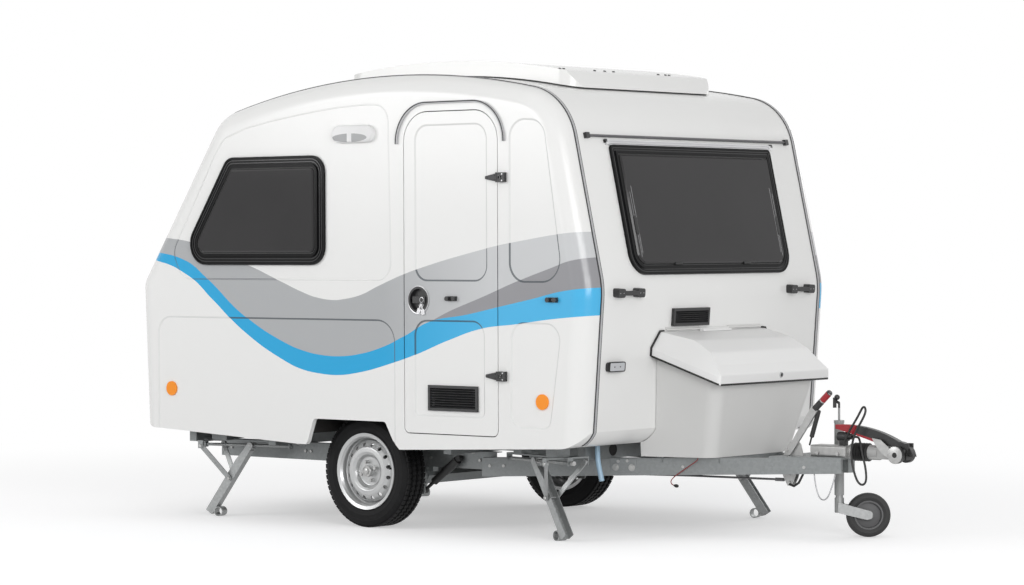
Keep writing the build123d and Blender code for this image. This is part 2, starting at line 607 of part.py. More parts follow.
STEADY_Z = 385                          # height of the screw
LEG = 428.5                             # twice the strut, so that the nut, its pivot and the strut's hinge stay in line
STEADY_ANGLE = math.degrees(math.asin(355 / LEG))
STEADY_TURN = 15                        # each leg's plane turns this much outwards
STEADIES = [("rear_right", -1753, -840, STEADY_TURN), ("rear_left", -1753, 840, -STEADY_TURN),
            ("front_right", 684, -840, 180 - STEADY_TURN), ("front_left", 684, 840, 180 + STEADY_TURN)]
V_HALF = 118                            # half the width of the strut at its fixed hinges
SCREW_R = 8
PIN_R = 6
CHANNEL_HALF = 26                       # half the leg's width
CHANNEL_WEB = -18                       # the leg's web, below its line of pivots
CHANNEL_LIP = 26
CURL_R = 26                             # the curled strap on which the leg stands
CURL_DROP = 42                          # its middle below the line of pivots
CURL_X = (STEADY_Z - CURL_R - CURL_DROP * math.cos(math.radians(STEADY_ANGLE))) / math.sin(math.radians(STEADY_ANGLE))


def leg_shape():
    """A leg along +X from its nut at the origin: a channel open upwards (+Z), with its curled foot below."""
    half, web, lip = CHANNEL_HALF, CHANNEL_WEB, CHANNEL_LIP
    end = CURL_X + 36
    side = polygon([(-16, web, 12), (-16, 16, 14), (40, 16, 0), (110, lip, 0), (end, lip, 4), (end, web, 4)])
    leg = upright(side, half) - box(-30, end + 1, -half + 4, half - 4, web + 4, 60) - box(-30, 24, -half + 4, half - 4, -60, 60)
    leg += tube((CURL_X, -half, -CURL_DROP), (CURL_X, half, -CURL_DROP), CURL_R, CURL_R - 4)
    leg += rod((LEG / 2, -half - 13, 0), (LEG / 2, half + 13, 0), PIN_R)
    for side in (-1, 1):
        leg -= rod((0, side * (half - 7), 0), (0, side * (half + 3), 0), PIN_R + 0.4)
    return leg


def make_steadies():
    frames = []
    for name, x, y, turn in STEADIES:
        place = Pos(x, y, STEADY_Z) * Rot(0, 0, turn)
        top = FLOOR[2] - STEADY_Z
        frame = box(-40, 480, -16, 16, 20, 28) + box(-16, 16, -V_HALF - 12, V_HALF + 12, 20, 28)
        frame += box(20, 110, -40, 40, 28, top) + box(330, 400, -30, 30, 28, top)
        for end in (-40, 474):
            frame += box(end, end + 6, -16, 16, -14, 28)
        frame += rod((-52, 0, 0), (488, 0, 0), SCREW_R)
        for side in (-1, 1):
            y0, y1 = sorted((side * (V_HALF + 6), side * (V_HALF + 12)))
            frame += box(-14, 14, y0, y1, -14, 28)
            frame += rod((0, side * (V_HALF - 6), 0), (0, side * (V_HALF + 12), 0), PIN_R)
        frames.append(place * frame)

        tilt = Rot(0, STEADY_ANGLE, 0)          # turns +X down to the strut's line
        joint = Vector(LEG / 2, 0, 0)
        arms = []
        for side in (-1, 1):
            a, b = Vector(4, side * V_HALF, 0), joint + Vector(-4, side * 33, 0)
            run = b - a
            bar = extrude(Plane(origin=a, x_dir=(0, 0, 1), z_dir=run) * Rectangle(26, 6), amount=run.length)
            eye = rod((0, side * (V_HALF - 5), 0), (0, side * (V_HALF + 5.4), 0), 13)
            far = rod(joint + Vector(0, side * 28, 0), joint + Vector(0, side * 37, 0), 13)
            half = bar + eye + far
            half -= rod((0, side * (V_HALF - 12), 0), (0, side * (V_HALF + 12), 0), PIN_R + 0.4)
            half -= rod(joint + Vector(0, side * 26, 0), joint + Vector(0, side * 42, 0), PIN_R + 0.4)
            arms.append(place * tilt * half)
        save(f"steady_strut_{name}", *arms)

        nut_x = LEG * math.cos(math.radians(STEADY_ANGLE))
        leg_place = Pos(nut_x, 0, 0) * Rot(0, 180 - STEADY_ANGLE, 0) * Rot(180, 0, 0)
        save(f"steady_leg_{name}", place * leg_place * leg_shape())

        nut = box(-14, 14, -17, 17, -13, 13) - rod((-20, 0, 0), (20, 0, 0), SCREW_R + 0.5)
        nut += rod((0, 16, 0), (0, 27, 0), PIN_R) + rod((0, -16, 0), (0, -27, 0), PIN_R)
        save(f"steady_nut_{name}", place * Pos(nut_x, 0, 0) * nut)
    save("steady_frames", *frames)


# ---------------------------------------------------------------- fittings on the walls and the door

GUTTER = (34, 48, 1960)                 # inner and outer distance from the door opening, foot z
TRIM_W = 22                             # cover strip over each seam
TRIM_PROUD = 4
LOCK = (-107, 1179, 70)                 # x, z, radius of the door lock's dish
VENT = (-44, 280, 628, 755)             # x from, x to, z from, z to
VENT_SLATS = 8
CATCH = (113, 1187)                     # on the door
RETAINER = (756, 1186)                  # on the wall


def make_strips():
    """The cover strips over the two seams, and the rain gutter over the door."""
    band = upright(offset(side_face(), amount=TRIM_PROUD, kind=Kind.INTERSECTION), SEAM_Y + TRIM_W / 2)
    band &= upright(offset(polygon(SKIRT), amount=TRIM_PROUD, kind=Kind.INTERSECTION), WIDTH)
    band &= box(-3000, 3000, -SEAM_Y - TRIM_W / 2, -SEAM_Y + TRIM_W / 2, FLOOR[2], 2600)
    strip = band - hull(0)
    inner, outer, foot = GUTTER
    arch = RIGHT_WALL * (door_face(-outer) - door_face(-inner))
    gutter = extrude(arch, amount=11) & box(-3000, 3000, -2000, 0, foot, 2600)
    save("trim_strips", strip, mirrored(strip), gutter)


def slats(x0, x1, z0, z1, count, depth):
    """A louvred panel drawn in the X-Z plane: a rim and sloping slats, its face at y = 0, depth towards +Y."""
    rim = 14
    panel = box(x0, x1, 0, depth, z0, z1) - box(x0 + rim, x1 - rim, -1, depth + 1, z0 + rim, z1 - rim)
    pitch = (z1 - z0 - 2 * rim) / count
    for k in range(count):
        z = z0 + rim + pitch * (k + 0.5)
        slat = Pos((x0 + x1) / 2, depth / 2, z) * Rot(32, 0, 0) * Box(x1 - x0 - 2 * rim + 2, depth * 0.95, 2.5)
        panel += slat
    return panel


def make_door_fittings(door):
    outer_y = -WIDTH / 2
    px, py = HINGE_PIN
    leaves, blocks = [], []
    for z in HINGE_Z:
        leaf = polygon([(-84, -7, 5), (-84, 7, 5), (-14, 20, 4), (-14, -20, 4)])
        plate = extrude(Plane(origin=(px, outer_y, z), x_dir=(1, 0, 0), z_dir=(0, -1, 0)) * leaf, amount=8)
        arm = box(px - 22, px, outer_y - 20, outer_y - 8, z - 7, z + 7)
        knuckle = rod((px, py, z - 7), (px, py, z + 7), 9)
        leaves.append(plate + arm + knuckle - rod((px, py, z - 10), (px, py, z + 10), 4.3))
        block = box(px + 8, px + 48, outer_y - 20, outer_y, z - 24, z + 24)
        block += rod((px, py, z - 24), (px, py, z - 8), 9) + rod((px, py, z + 8), (px, py, z + 24), 9)
        block -= box(px - 10, px + 28, outer_y - 30, outer_y - 1, z - 8, z + 8)
        blocks.append(block + rod((px, py, z - 20), (px, py, z + 20), 4))
    knobs = [hook_pair(*CATCH, outer_y)]
    save("door_fittings", *leaves, *knobs)
    save("wall_fittings", *blocks, hook_pair(*RETAINER, outer_y))

    x, z, r = LOCK
    front = outer_y - 4
    dish = rod((x, front, z), (x, outer_y + 22, z), r - 8) + rod((x, front, z), (x, outer_y, z), r)
    bowl = rod((x, front - 1, z), (x, outer_y + 18, z), r - 14)
    paddle = box(x - 40, x + 44, front + 2, front + 14, z - 17, z + 17) + rod((x + 20, front + 2, z), (x + 20, outer_y + 20, z), 15)
    save("door_lock", dish - bowl + paddle)
    door -= rod((x, front, z), (x, outer_y + 22, z), r - 8)

    x0, x1, z0, z1 = VENT
    grille = Pos(0, outer_y - 6, 0) * slats(x0, x1, z0, z1, VENT_SLATS, 16)
    save("door_vent", grille)
    door -= box(x0, x1, outer_y - 30, outer_y + 10, z0, z1)
    door -= box(x0 + 14, x1 - 14, outer_y - 30, outer_y + 90, z0 + 14, z1 - 14)
    save("door_panel", door)


def hook_pair(x, z, outer_y):
    """The two-lobed rubber catch that holds the door open: two knobs on one foot."""
    foot = box(x - 32, x + 32, outer_y - 6, outer_y, z - 12, z + 12)
    for side in (-1, 1):
        foot += rod((x + side * 22, outer_y, z), (x + side * 22, outer_y - 20, z), 12)
    return foot


SIDE_LAMP = (-535, 2018, 276, 90)       # awning lamp: x, z, length, height
REFLECTORS = [(-1873, 690), (688, 690)]
FRONT_LAMP = (800, 860, 122, 46)        # y, z, width, height
REAR_LAMP = (760, 700, 130, 260)
FRONT_VENT = (-205, 1092, 300, 88)      # y, z, width, height


AWNING_RAILS = [(842, 1982, 7), (690, 1949, 5)]     # half length, z, radius
HANDLE_Z = (1219, 1330)                 # front, rear


def oval(width, height):
    return SlotOverall(width, height)


def wall_plane(foot, top, z, y, outward):
    """A plane on an end wall between two outline corners, centred at height z and across position y."""
    t = (z - foot[1]) / (top[1] - foot[1])
    up = Vector(top[0] - foot[0], 0, top[1] - foot[1]).normalized()
    out = Vector(up.Z, 0, -up.X) * outward
    return Plane(origin=(foot[0] + (top[0] - foot[0]) * t, y, z), x_dir=up.cross(out), z_dir=out)


def make_lamps():
    x, z, w, h = SIDE_LAMP
    at = Plane(origin=(x, -WIDTH / 2, z), x_dir=(1, 0, 0), z_dir=(0, -1, 0))
    side = layer(at, oval(w, h), 0, 30)
    side = fillet(side.faces().sort_by(Axis.Y)[0].edges(), 12)
    lamps = [side]
    y, z, w, h = FRONT_LAMP
    for sign in (-1, 1):
        at = wall_plane(OUTLINE[0][:2], OUTLINE[1][:2], z, sign * y, 1)
        lamps.append(layer(at, RectangleRounded(w, h, 14), 0, 26))
    y, z, w, h = REAR_LAMP
    for sign in (-1, 1):
        at = wall_plane(OUTLINE[5][:2], OUTLINE[4][:2], z, sign * y, -1)
        lamps.append(layer(at, RectangleRounded(w, h, 30), 0, 34))
    for x, z in REFLECTORS:
        disc = rod((x, -WIDTH / 2 + PRESS_DEPTH, z), (x, -WIDTH / 2 - 4, z), 38)
        lamps += [disc, mirrored(disc)]
    save("lamps", *lamps)


def make_end_fittings():
    y, z, w, h = FRONT_VENT
    at = wall_plane(OUTLINE[0][:2], OUTLINE[1][:2], z, y, 1)
    panel = slats(-w / 2, w / 2, -h / 2, h / 2, 6, 16)
    place = Location(Plane(origin=at.origin + at.z_dir * 17, x_dir=(0, 1, 0), z_dir=at.y_dir))
    save("front_vent", place * panel)

    # awning rail over the front window and the slimmer rail below it
    outer = hull(0)
    bars = []
    for half, z, r in AWNING_RAILS:
        at = wall_plane(OUTLINE[1][:2], OUTLINE[2][:2], z, 0, 1)
        line = at.origin + at.z_dir * (r + 2)
        bar = rod(line - Vector(0, half, 0), line + Vector(0, half, 0), r)
        for side in (-1, 1):
            foot = layer(at, Pos(side * half, 0) * Rectangle(4 * r, 4 * r), -5, 2.6 * r)
            bar += foot - outer
        bars.append(bar)
    save("awning_rails", *bars)

    handles = []
    for foot, top, z, outward in ((OUTLINE[0], OUTLINE[1], HANDLE_Z[0], 1), (OUTLINE[4], OUTLINE[3], HANDLE_Z[1], -1)):
        for side in (-1, 1):
            at = wall_plane(foot[:2], top[:2], z, side * 730, outward)
            grip = layer(at, RectangleRounded(150, 22, 8), 20, 36)
            for end in (-1, 1):
                grip += layer(at, Pos(end * 78, 0) * RectangleRounded(54, 44, 12), -4, 36)
            handles.append(grip - outer)
    save("grab_handles", *handles)

    at = wall_plane(OUTLINE[5][:2], OUTLINE[4][:2], 720, 0, -1)
    plate = layer(at, RectangleRounded(560, 150, 14), 0, 8) + layer(at, Rectangle(524, 116), 8, 16)
    save("plate_holder", plate + layer(at, Pos(0, 92) * Rectangle(120, 30), 0, 40))


# ---------------------------------------------------------------- cables and the drain hose

TOW_LEAD_D = 11
TOW_LEAD = [
    (1777, -36, 468), (1777, -36, 486), (1790, -36, 512), (1812, -35, 552), (1845, -32, 600), (1868, -32, 638),
    (1884, -34, 662), (1902, -40, 660), (1908, -46, 636), (1890, -50, 598), (1862, -52, 555), (1842, -54, 510),
    (1832, -56, 460), (1834, -58, 410), (1844, -60, 362), (1860, -62, 320), (1874, -62, 296), (1892, -61, 284),
    (1911, -60, 290), (1919, -59, 311), (1918, -58, 340), (1910, -57, 384), (1894, -54, 430), (1880, -46, 474),
    (1862, -30, 500), (1842, -10, 511), (1822, 0, 512), (1800, 0, 512),
]
BREAKAWAY_D = 7
BREAKAWAY = [
    (1636, -88, 328), (1640, -88, 290), (1650, -87, 250), (1660, -87, 222), (1676, -86, 204), (1698, -85, 204),
    (1713, -80, 222), (1722, -74, 250), (1733, -64, 292), (1739, -58, 330.5),
]
HOSE_D = 26
HOSE = [(692, -600, FLOOR[2]), (692, -600, 410), (700, -597, 345), (714, -592, 282)]
TWIN_LEAD_D = 5
TWIN_LEAD = [
    (1114, -334, 402), (1114, -334, 391), (1092, -337, 374), (1056, -342, 352), (1020, -346, 328), (984, -350, 305),
    (956, -350, 281), (962, -350, 262), (980, -350, 258),
]


def cord(points, diameter):
    """A round tube along straight runs, joined by arcs as large as the shorter run allows."""
    stops = [Vector(*p) for p in points]
    radii = []
    for a, b, c in zip(stops, stops[1:], stops[2:]):
        turn = math.radians((b - a).get_angle(c - b))
        radii.append(0.45 * min((b - a).length, (c - b).length) / math.tan(turn / 2))
    path = FilletPolyline(*stops, radius=radii)
    section = Plane(origin=stops[0], z_dir=stops[1] - stops[0]) * Circle(diameter / 2)
    body = sweep(section, path=path)
    expected = math.pi * diameter ** 2 / 4 * path.length
    print("cord", round(path.length), "mm, tightest", round(min(radii), 1), "volume", round(body.volume / expected, 3))
    return body


def make_cords():
    save("tow_lead", cord(TOW_LEAD, TOW_LEAD_D))
    plug = rod((1800, 0, 512), (1778, 0, 512), 14) + rod((1778, 0, 512), (1722, 0, 512), 22)
    plug += box(1732, 1768, -12, 12, 468, 500)
    save("tow_plug", plug)
    save("breakaway_cable", cord(BREAKAWAY, BREAKAWAY_D))
    save("drain_hose", cord(HOSE, HOSE_D))
    x, y, z = TWIN_LEAD[-1]
    save("twin_lead", cord(TWIN_LEAD, TWIN_LEAD_D) + Pos(x + 6, y, z) * Sphere(9))


for step in (make_body, make_roof_lid, make_locker, make_chassis, make_axle, make_wheels, make_coupling,
             make_brake_lever, make_jockey, make_steadies, make_strips, make_lamps, make_end_fittings, make_cords):
    step()
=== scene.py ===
import math

import bmesh
import bpy
from mathutils import Matrix, Vector


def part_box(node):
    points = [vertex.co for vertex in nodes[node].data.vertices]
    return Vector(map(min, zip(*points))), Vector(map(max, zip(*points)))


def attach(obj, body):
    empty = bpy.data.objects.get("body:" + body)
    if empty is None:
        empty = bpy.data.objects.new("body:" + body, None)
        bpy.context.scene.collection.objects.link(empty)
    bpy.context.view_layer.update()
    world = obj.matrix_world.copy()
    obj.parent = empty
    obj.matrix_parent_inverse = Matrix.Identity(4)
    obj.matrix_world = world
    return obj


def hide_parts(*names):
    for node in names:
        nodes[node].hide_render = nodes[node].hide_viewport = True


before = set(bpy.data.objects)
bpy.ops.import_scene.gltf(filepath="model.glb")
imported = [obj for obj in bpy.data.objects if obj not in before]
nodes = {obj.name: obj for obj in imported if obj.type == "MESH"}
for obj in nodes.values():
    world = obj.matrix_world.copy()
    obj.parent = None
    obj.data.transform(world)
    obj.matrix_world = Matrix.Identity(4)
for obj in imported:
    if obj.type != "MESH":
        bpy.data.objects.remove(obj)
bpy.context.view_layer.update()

# ---------------------------------------------------------------- camera and studio
# The view is three quarters from the right front, from standing height and far off with a long lens,
# in a white studio with soft light from above.
camera_data = bpy.data.cameras.new("camera")
camera_data.lens = 112.03
camera_data.sensor_width = 36
camera_data.clip_end = 200
camera = bpy.data.objects.new("camera", camera_data)
bpy.context.scene.collection.objects.link(camera)
heading, pitch, roll = math.radians(39.73), math.radians(0.913), math.radians(-0.2175)
ahead = Vector((-math.sin(heading) * math.cos(pitch), math.cos(heading) * math.cos(pitch), -math.sin(pitch)))
level = Vector((math.cos(heading), math.sin(heading), 0))
upward = level.cross(ahead)
across = level * math.cos(roll) + upward * math.sin(roll)
upright = upward * math.cos(roll) - level * math.sin(roll)
CAMERA_PLACE = (10.439, -12.984, 1.468)
camera_turn = Matrix((across, upright, -ahead)).transposed().to_4x4()
camera.matrix_world = Matrix.Translation(CAMERA_PLACE) @ camera_turn
bpy.context.scene.camera = camera
bpy.context.scene.view_settings.view_transform = "Standard"


def put(t, kind, inputs=None, **settings):
    """A node in a tree: settings are its own, and inputs are numbers, colours or the sockets that feed it."""
    node = t.nodes.new(kind)
    for setting, given in settings.items():
        setattr(node, setting, given)
    for label, given in (inputs or {}).items():
        if isinstance(given, bpy.types.NodeSocket):
            t.links.new(given, node.inputs[label])
        else:
            node.inputs[label].default_value = given
    return node


def maths(t, operation, first, second=0.0):
    """The result of a Math node of one operation on two sockets or numbers."""
    return put(t, "ShaderNodeMath", {0: first, 1: second}, operation=operation).outputs[0]


def background_rays(t):
    """One number in a node tree: 1 for what the camera sees itself, in gloss or through glass."""
    rays = put(t, "ShaderNodeLightPath").outputs
    direct_or_gloss = maths(t, "MAXIMUM", rays["Is Camera Ray"], rays["Is Glossy Ray"])
    return maths(t, "MAXIMUM", direct_or_gloss, rays["Is Transmission Ray"])


SKY_STRENGTH = 0.5
world = bpy.data.worlds.new("studio")
bpy.context.scene.world = world
world.use_nodes = True
tree = world.node_tree
tree.nodes.clear()
sky = put(tree, "ShaderNodeBackground", {"Color": (1, 1, 1, 1), "Strength": SKY_STRENGTH})
backdrop = put(tree, "ShaderNodeBackground", {"Color": (1, 1, 1, 1), "Strength": 1.0})
choose = put(tree, "ShaderNodeMixShader", {"Fac": background_rays(tree), 1: sky.outputs[0],
                                           2: backdrop.outputs[0]})
put(tree, "ShaderNodeOutputWorld", {"Surface": choose.outputs[0]})

LAMPS = [  # name, place, aims at, width, height, watts
    ("overhead", (0.5, -1.0, 6.5), (0, 0, 1), 8, 5, 30),
    ("front_side", (8.5, -6.0, 2.9), (0.5, 0, 1.2), 5, 4, 440),
    ("right_side", (-5.0, -8.0, 3.6), (-0.8, 0, 1.2), 5, 3, 235),
    ("far_side", (1.0, 8.0, 4.0), (0, 0, 1), 5, 3, 90),
]
for lamp_name, place, target, lamp_wide, lamp_high, watts in LAMPS:
    lamp = bpy.data.lights.new(lamp_name, "AREA")
    lamp.shape = "RECTANGLE"
    lamp.size, lamp.size_y, lamp.energy = lamp_wide, lamp_high, watts
    lamp_object = bpy.data.objects.new(lamp_name, lamp)
    lamp_object.location = place
    lamp_object.rotation_euler = (Vector(target) - Vector(place)).to_track_quat("-Z", "Y").to_euler()
    bpy.context.scene.collection.objects.link(lamp_object)

FLOOR_HALF = 60
FLOOR_FADE = (2.6, 7.5)                 # metres from the middle, over which the floor turns to plain white
FLOOR_FILL = 0.43                       # light added to the floor for what the camera sees itself
FLOOR_GREY = (0.72, 0.72, 0.725, 1)
floor_mesh = bpy.data.meshes.new("studio_floor")
floor_mesh.from_pydata([(x * FLOOR_HALF, y * FLOOR_HALF, 0) for x, y in ((-1, -1), (1, -1), (1, 1), (-1, 1))],
                       [], [(0, 1, 2, 3)])
floor = bpy.data.objects.new("studio_floor", floor_mesh)
bpy.context.scene.collection.objects.link(floor)
floor_paint = bpy.data.materials.new("studio_floor_paint")
floor_paint.use_nodes = True
tree = floor_paint.node_tree
tree.nodes.clear()
seen = background_rays(tree)
matt = put(tree, "ShaderNodeBsdfDiffuse", {"Color": FLOOR_GREY})
glow = put(tree, "ShaderNodeEmission", {"Strength": maths(tree, "MULTIPLY", seen, FLOOR_FILL)})
both = put(tree, "ShaderNodeAddShader", {0: matt.outputs[0], 1: glow.outputs[0]})
bright = put(tree, "ShaderNodeEmission", {"Strength": 1.0})
place = put(tree, "ShaderNodeTexCoord")
distance = put(tree, "ShaderNodeVectorMath", {0: place.outputs["Object"]}, operation="LENGTH")
fade = put(tree, "ShaderNodeMapRange", {"Value": distance.outputs["Value"], "From Min": FLOOR_FADE[0],
                                        "From Max": FLOOR_FADE[1]}, interpolation_type="SMOOTHSTEP")
melt = put(tree, "ShaderNodeMixShader", {"Fac": maths(tree, "MULTIPLY", fade.outputs["Result"], seen),
                                         1: both.outputs[0], 2: bright.outputs[0]})
put(tree, "ShaderNodeOutputMaterial", {"Surface": melt.outputs[0]})
floor.data.materials.append(floor_paint)


# ---------------------------------------------------------------- moulded shell and door
# Two side mouldings and one wrap-round middle moulding of glass fibre with a polished white gel coat.
# The sides and the door carry grey and blue bands of film laid along one long wave.
def stretched(t, number, low, high, to=(0, 1)):
    """A number moved from one stretch to another."""
    span = {"Value": number, "From Min": low, "From Max": high, "To Min": to[0], "To Max": to[1]}
    return put(t, "ShaderNodeMapRange", span).outputs["Result"]


def finish(name, colour, rough, metal=0.0, mottle=0.04, mottle_size=0.25, grain=0.0, grain_size=0.004,
           spangle=0.0, specular=0.5):
    """A surface whose colour and gloss wander a little, with a fine grain; sizes in metres."""
    made = bpy.data.materials.new(name)
    made.use_nodes = True
    t = made.node_tree
    place = put(t, "ShaderNodeTexCoord").outputs["Object"]
    cloud = put(t, "ShaderNodeTexVoronoi" if spangle else "ShaderNodeTexNoise", {
        "Vector": place, "Scale": 1 / (spangle or mottle_size), "Detail": 0 if spangle else 5})
    patch = cloud.outputs["Color" if spangle else "Fac"]
    shades = put(t, "ShaderNodeValToRGB", {"Fac": patch})
    spread = (0.1, 0.9) if spangle else (0.3, 0.7)
    levels = (1 - mottle, 1 + mottle)
    for element, position, level in zip(shades.color_ramp.elements, spread, levels):
        element.position = position
        element.color = tuple(min(1, c * level) for c in colour) + (1,)
    gloss = stretched(t, patch, 0, 1, to=(rough * 0.85, min(1, rough * 1.2)))
    shader = t.nodes["Principled BSDF"]
    t.links.new(shades.outputs["Color"], shader.inputs["Base Color"])
    t.links.new(gloss, shader.inputs["Roughness"])
    shader.inputs["Metallic"].default_value = metal
    shader.inputs["Specular IOR Level"].default_value = specular
    if grain:
        fine = put(t, "ShaderNodeTexNoise", {"Vector": place, "Scale": 1 / grain_size, "Detail": 3})
        bump = put(t, "ShaderNodeBump", {"Height": fine.outputs["Fac"], "Distance": grain})
        t.links.new(bump.outputs["Normal"], shader.inputs["Normal"])
    return made


def paint(material, *names):
    """Give whole nodes one finish."""
    for n in names:
        nodes[n].data.materials.clear()
        nodes[n].data.materials.append(material)


def over_painted(material, cover, where):
    """A second colour, or a socket that gives one, over a finish wherever a number is 1."""
    t = material.node_tree
    shown = t.nodes["Principled BSDF"].inputs["Base Color"]
    under = shown.links[0].from_socket
    mix = put(t, "ShaderNodeMix", {"Factor": where, "A": under, "B": cover}, data_type="RGBA")
    t.links.new(mix.outputs["Result"], shown)


def own_place(material):
    """The X, Y and Z of a point in a material, in metres."""
    t = material.node_tree
    return put(t, "ShaderNodeSeparateXYZ", {0: put(t, "ShaderNodeTexCoord").outputs["Object"]}).outputs


GEL_WHITE = (0.8, 0.8, 0.79)
white_gel_coat, banded_gel_coat = [
    finish(name, GEL_WHITE, 0.2, mottle=0.012, mottle_size=0.9, grain=0.0003, grain_size=0.05)
    for name in ("white_gel_coat", "banded_gel_coat")]
paint(white_gel_coat, "centre_shell", "roof_lid")
paint(banded_gel_coat, "side_shell_right", "side_shell_left", "door_panel")

BAND_X, BAND_Z = (-2.2, 1.1), (0.7, 1.6)       # the stretch of the side that the curves are drawn over
BLUE_TOP = [
    (-2.2, 1.42), (-1.958, 1.415), (-1.783, 1.381), (-1.61, 1.285), (-1.328, 1.085), (-1.051, 0.954),
    (-0.915, 0.912), (-0.78, 0.890), (-0.646, 0.886), (-0.514, 0.900), (-0.383, 0.930), (-0.198, 0.999),
    (-0.019, 1.076)]
BAND_EDGES = {  # x, z of the upper edge of each band along the side
    "light": [
        (-2.2, 1.500), (-1.899, 1.494), (-1.724, 1.473), (-1.298, 1.351), (-1.049, 1.262), (-0.913, 1.214),
        (-0.805, 1.185), (-0.684, 1.173), (-0.605, 1.180), (-0.513, 1.197), (-0.381, 1.246), (-0.212, 1.305),
        (-0.012, 1.360), (0.239, 1.416), (0.406, 1.449), (0.581, 1.476), (0.801, 1.505), (0.943, 1.516),
        (1.1, 1.52)],
    "dark": BLUE_TOP + [
        (0.087, 1.121), (0.317, 1.199), (0.532, 1.275), (0.725, 1.335), (0.876, 1.378), (1.1, 1.41)],
    "blue": BLUE_TOP + [
        (0.197, 1.107), (0.415, 1.149), (0.628, 1.190), (0.819, 1.229), (1.007, 1.248), (1.1, 1.252)],
    "white": [
        (-2.2, 1.38), (-1.98, 1.371), (-1.754, 1.299), (-1.568, 1.173), (-1.329, 1.000), (-1.052, 0.860),
        (-0.915, 0.813), (-0.807, 0.796), (-0.673, 0.789), (-0.541, 0.802), (-0.280, 0.861), (-0.137, 0.902),
        (0.087, 0.980), (0.316, 1.043), (0.531, 1.066), (0.723, 1.090), (0.913, 1.107), (1.1, 1.123)],
}
BAND_SHADED_AND_LIT_COLOURS = {  # at the rear, at the front: the grey and blue are painted lighter at the front as painted light
    "light": ((0.40, 0.41, 0.42), (0.56, 0.57, 0.58)), "dark": ((0.28, 0.28, 0.295), (0.28, 0.28, 0.295)),
    "blue": ((0.004, 0.36, 0.68), (0.06, 0.44, 0.76)), "white": (GEL_WHITE, GEL_WHITE)}
LIGHT_FADE_HALF = 0.35                        # the painted light on the bands changes from the rear colour to the front colour over this far behind and ahead of the origin
t = banded_gel_coat.node_tree
at = own_place(banded_gel_coat)
along = stretched(t, at["X"], *BAND_X)
front_light_share = stretched(t, at["X"], -LIGHT_FADE_HALF, LIGHT_FADE_HALF)
under_edge = {}
for band, edge in BAND_EDGES.items():
    wave = put(t, "ShaderNodeFloatCurve", {"Value": along})
    line = wave.mapping.curves[0]
    spots = [((x - BAND_X[0]) / (BAND_X[1] - BAND_X[0]), (z - BAND_Z[0]) / (BAND_Z[1] - BAND_Z[0]))
             for x, z in edge]
    line.points[0].location, line.points[-1].location = spots[0], spots[-1]
    for spot in spots[1:-1]:
        line.points.new(*spot)
    wave.mapping.update()
    height = stretched(t, wave.outputs["Value"], 0, 1, to=BAND_Z)
    under_edge[band] = maths(t, "LESS_THAN", at["Z"], height)
    rear_colour, front_lit_colour = [colour + (1,) for colour in BAND_SHADED_AND_LIT_COLOURS[band]]
    tint = put(t, "ShaderNodeMix", {"Factor": front_light_share, "A": rear_colour, "B": front_lit_colour}, data_type="RGBA")
    over_painted(banded_gel_coat, tint.outputs["Result"], under_edge[band])
# painted shade: the sloping edges of the pressed panels on the walls are painted darker, a little over white
# and much more over the bands
WALL_Y = 1.025
EDGE_FACING = 0.952                     # faces turned further from straight sideways than this are sloping
PRESS_DEPTH = 0.0041
# the colour of the painted shade on the panels' sloping edges, and how much of it shows over white and over
# the bands
CREASE_SHADE_COLOUR = (0.035, 0.05, 0.06, 1)
CREASE_SHADE_ON_WHITE, CREASE_SHADE_ON_BANDS = 0.1, 0.66
facing = put(t, "ShaderNodeSeparateXYZ", {0: put(t, "ShaderNodeTexCoord").outputs["Normal"]}).outputs
sloping = maths(t, "LESS_THAN", maths(t, "ABSOLUTE", facing["Y"]), EDGE_FACING)
on_wall = maths(t, "GREATER_THAN", maths(t, "ABSOLUTE", at["Y"]), WALL_Y - PRESS_DEPTH)
banded = maths(t, "SUBTRACT", under_edge["light"], under_edge["white"])
strength = maths(t, "ADD", maths(t, "MULTIPLY", banded, CREASE_SHADE_ON_BANDS), CREASE_SHADE_ON_WHITE)
crease = maths(t, "MULTIPLY", maths(t, "MULTIPLY", sloping, on_wall), strength)
over_painted(banded_gel_coat, CREASE_SHADE_COLOUR, crease)


def fitted(name, mesh, body, smooth):
    """One finished piece from a mesh: smooth but for its sharp edges, and riding on a body."""
    mesh.name = name
    mesh.shade_smooth()
    mesh.set_sharp_from_angle(angle=math.radians(smooth))
    piece = bpy.data.objects.new(name, mesh)
    bpy.context.scene.collection.objects.link(piece)
    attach(piece, body)
    return piece


def meshed(name, bm):
    """Close loose mesh data into one mesh whose faces point outwards."""
    bmesh.ops.remove_doubles(bm, verts=bm.verts, dist=1e-6)
    bmesh.ops.recalc_face_normals(bm, faces=bm.faces)
    mesh = bpy.data.meshes.new(name)
    bm.to_mesh(mesh)
    bm.free()
    return mesh


def settle(name, bm, material, body="caravan_body", smooth=35):
    """Turn loose mesh data into one finished piece that rides on a body."""
    mesh = meshed(name, bm)
    mesh.materials.append(material)
    return fitted(name, mesh, body, smooth)


def swept(bm, path, section, up=(0, 0, 1), closed=False):
    """A bar along a path: its section is a list of (to the right, towards up) round the path."""
    path = [Vector(p) for p in path]
    up = Vector(up).normalized()
    count = len(path)
    loops = []
    for k, spot in enumerate(path):
        before = path[k - 1] if k or closed else spot
        after = path[(k + 1) % count] if k < count - 1 or closed else spot
        back, on = (spot - before).normalized(), (after - spot).normalized()
        run = (back + on).normalized()
        right = run.cross(up).normalized()
        top = right.cross(run)
        cosine = max(0.5, run.dot(on if on.length else back))
        loops.append([bm.verts.new(spot + right * (u / cosine) + top * v) for u, v in section])
    sides = len(section)
    pairs = list(zip(loops, loops[1:])) + ([(loops[-1], loops[0])] if closed else [])
    for low, high in pairs:
        for k in range(sides):
            bm.faces.new((low[k - 1], low[k], high[k], high[k - 1]))
    if not closed:
        bm.faces.new(loops[0])
        bm.faces.new(list(reversed(loops[-1])))


